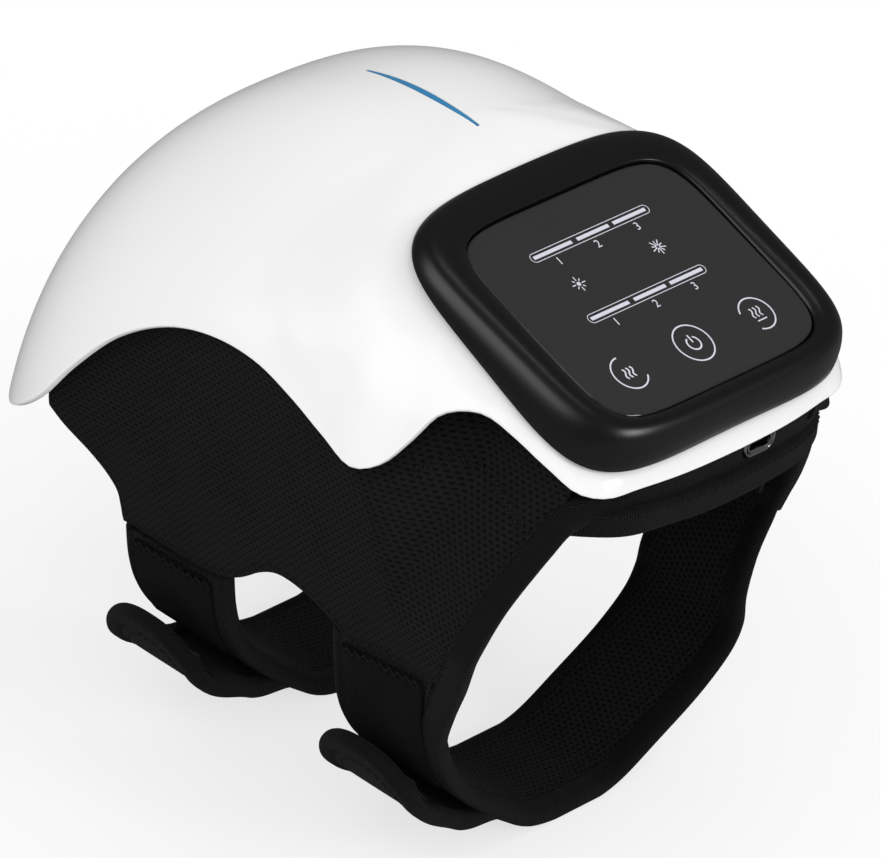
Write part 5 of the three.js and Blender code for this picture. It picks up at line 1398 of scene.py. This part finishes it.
add_shell()
add_bezel()
add_glass()
add_marks()
for side, name in ((-1, "left"), (1, "right")):
    add_cover(side, name)
    add_cover_seam(f"cover_overlock_{name}", side, 0.24, np.linspace(0.012, 0.235, 60), 3.4, 1.5, 0.55, 1.6)
    add_cover_seam(f"cover_hem_stitch_{name}", side, 0.965, np.linspace(0.03, 0.97, 160), 2.2, 3.2, 0.5)
add_liner()
add_flap()
add_port_ring()
add_front_band()
add_rear_binding()
add_strap("thigh", THIGH_Y)
add_strap("calf", CALF_Y)
add_edge_tape(-1, "left", thigh_root_edge())
add_edge_tape(1, "right", None)

# CAD nodes that keep their shape, by material
KEPT = {
    "board": ("accent_lamp_board", "panel_board", "main_board", "lamp_board", "charge_board"),
    "brass": ("left_motor_weight", "right_motor_weight"),
    "cell": ("battery_cell_front", "battery_cell_rear"),
    "chrome": ("usb_socket",),
    "emitter": ("lamp_emitter_1", "lamp_emitter_2", "lamp_emitter_3"),
    "frame": ("inner_frame", "buzzer"),
    "guide": ("light_guide",),
    "heater": ("heating_pad",),
    "inlay": ("accent_inlay",),
    "spring": ("key_spring_left", "key_spring_middle", "key_spring_right", "left_motor_clip",
               "right_motor_clip"),
    "steel": ("shell_screw_front_left", "shell_screw_front_right", "shell_screw_rear_left",
              "shell_screw_rear_right", "left_motor", "right_motor"),
    "window": ("lamp_window",),
}
for paint, nodes in KEPT.items():
    for node in nodes:
        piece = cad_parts[node]
        piece.data.materials.clear()
        piece.data.materials.append(paints[paint].material)


# Floor, world and lamps
FLOOR_SIZE, FLOOR_FADE = 6, (0.12, 0.34)


def add_floor():
    bpy.ops.object.select_all(action="DESELECT")
    bpy.ops.mesh.primitive_grid_add(x_subdivisions=8, y_subdivisions=8, size=FLOOR_SIZE)
    floor = bpy.context.active_object
    floor.name = floor.data.name = "floor"
    paint = Paint("pale_floor", Roughness=0.9, Specular_IOR_Level=0.1)
    mirrored = paint.node("ShaderNodeLightPath", out="Is Glossy Ray")
    paint.set(Base_Color=paint.mix(mirrored, grey(246), grey(110)))
    seen = paint.node("ShaderNodeLightPath", out="Is Camera Ray")
    glow = paint.node("ShaderNodeEmission", None, {"Color": (1, 1, 1), "Strength": 1.0})
    reach = paint.node("ShaderNodeVectorMath", {"operation": "LENGTH"}, {0: paint.where()}, "Value")
    share = (reach.ramp(*FLOOR_FADE) * 0.3 + 0.7) * seen
    matt = Field(paint, paint.shader.outputs[0])
    mixed = paint.node("ShaderNodeMixShader", None, {0: share, 1: matt, 2: glow})
    paint.feed(paint.output.inputs["Surface"], mixed)
    floor.data.materials.append(paint.material)


# How strongly the world lights the object, and how strongly it shows in gloss
WORLD_SOFT, WORLD_GLOSS = 0.65, 0.11


def add_world():
    world = bpy.context.scene.world or bpy.data.worlds.new("studio")
    bpy.context.scene.world = world
    world.use_nodes = True
    world.node_tree.nodes.clear()
    sky = Recipe(world.node_tree)
    mirrored = sky.node("ShaderNodeLightPath", out="Is Glossy Ray")
    seen = sky.node("ShaderNodeLightPath", out="Is Camera Ray")
    values = {"Value": mirrored, "To Min": WORLD_SOFT, "To Max": WORLD_GLOSS}
    lit = sky.node("ShaderNodeMapRange", None, values)
    strength = sky.node("ShaderNodeMapRange", None, {"Value": seen, "To Min": lit, "To Max": 1.0})
    shine = sky.node("ShaderNodeBackground", None, {"Color": (1, 1, 1), "Strength": strength})
    sky.feed(sky.tree.nodes.new("ShaderNodeOutputWorld").inputs["Surface"], shine)


LAMP_AIM = Vector((0, 0, 0.1))
# Name, place, size, power, and whether it shows in the gloss
LAMPS = [
    ("left_softbox", (-0.95, 0.2, 1.0), (1.0, 0.8), 4.0, True),
    ("front_softbox", (0.26, -1.15, 0.62), (0.42, 0.36), 3.4, True),
    ("top_strip", (0.16, 0.0, 1.5), (0.5, 0.07), 0.5, True),
    ("front_left_fill", (-1.0, -0.8, 1.0), (1.0, 1.0), 4.7, False),
    ("right_fill", (1.0, -0.2, 1.1), (0.8, 0.8), 3.6, False),
]


def add_lamp(name, place, size, power, shows):
    """A softbox turned to the knee; one that doesn't show only fills, and leaves no highlight."""
    lamp = bpy.data.objects.new(name, bpy.data.lights.new(name, "AREA"))
    bpy.context.collection.objects.link(lamp)
    lamp.data.shape = "RECTANGLE"
    lamp.data.size, lamp.data.size_y = size
    lamp.data.energy = power
    lamp.visible_glossy = shows
    lamp.location = place
    lamp.rotation_euler = (LAMP_AIM - lamp.location).to_track_quat("-Z", "Y").to_euler()


add_floor()
add_world()
for lamp in LAMPS:
    add_lamp(*lamp)
bpy.context.scene.view_settings.view_transform = "Standard"
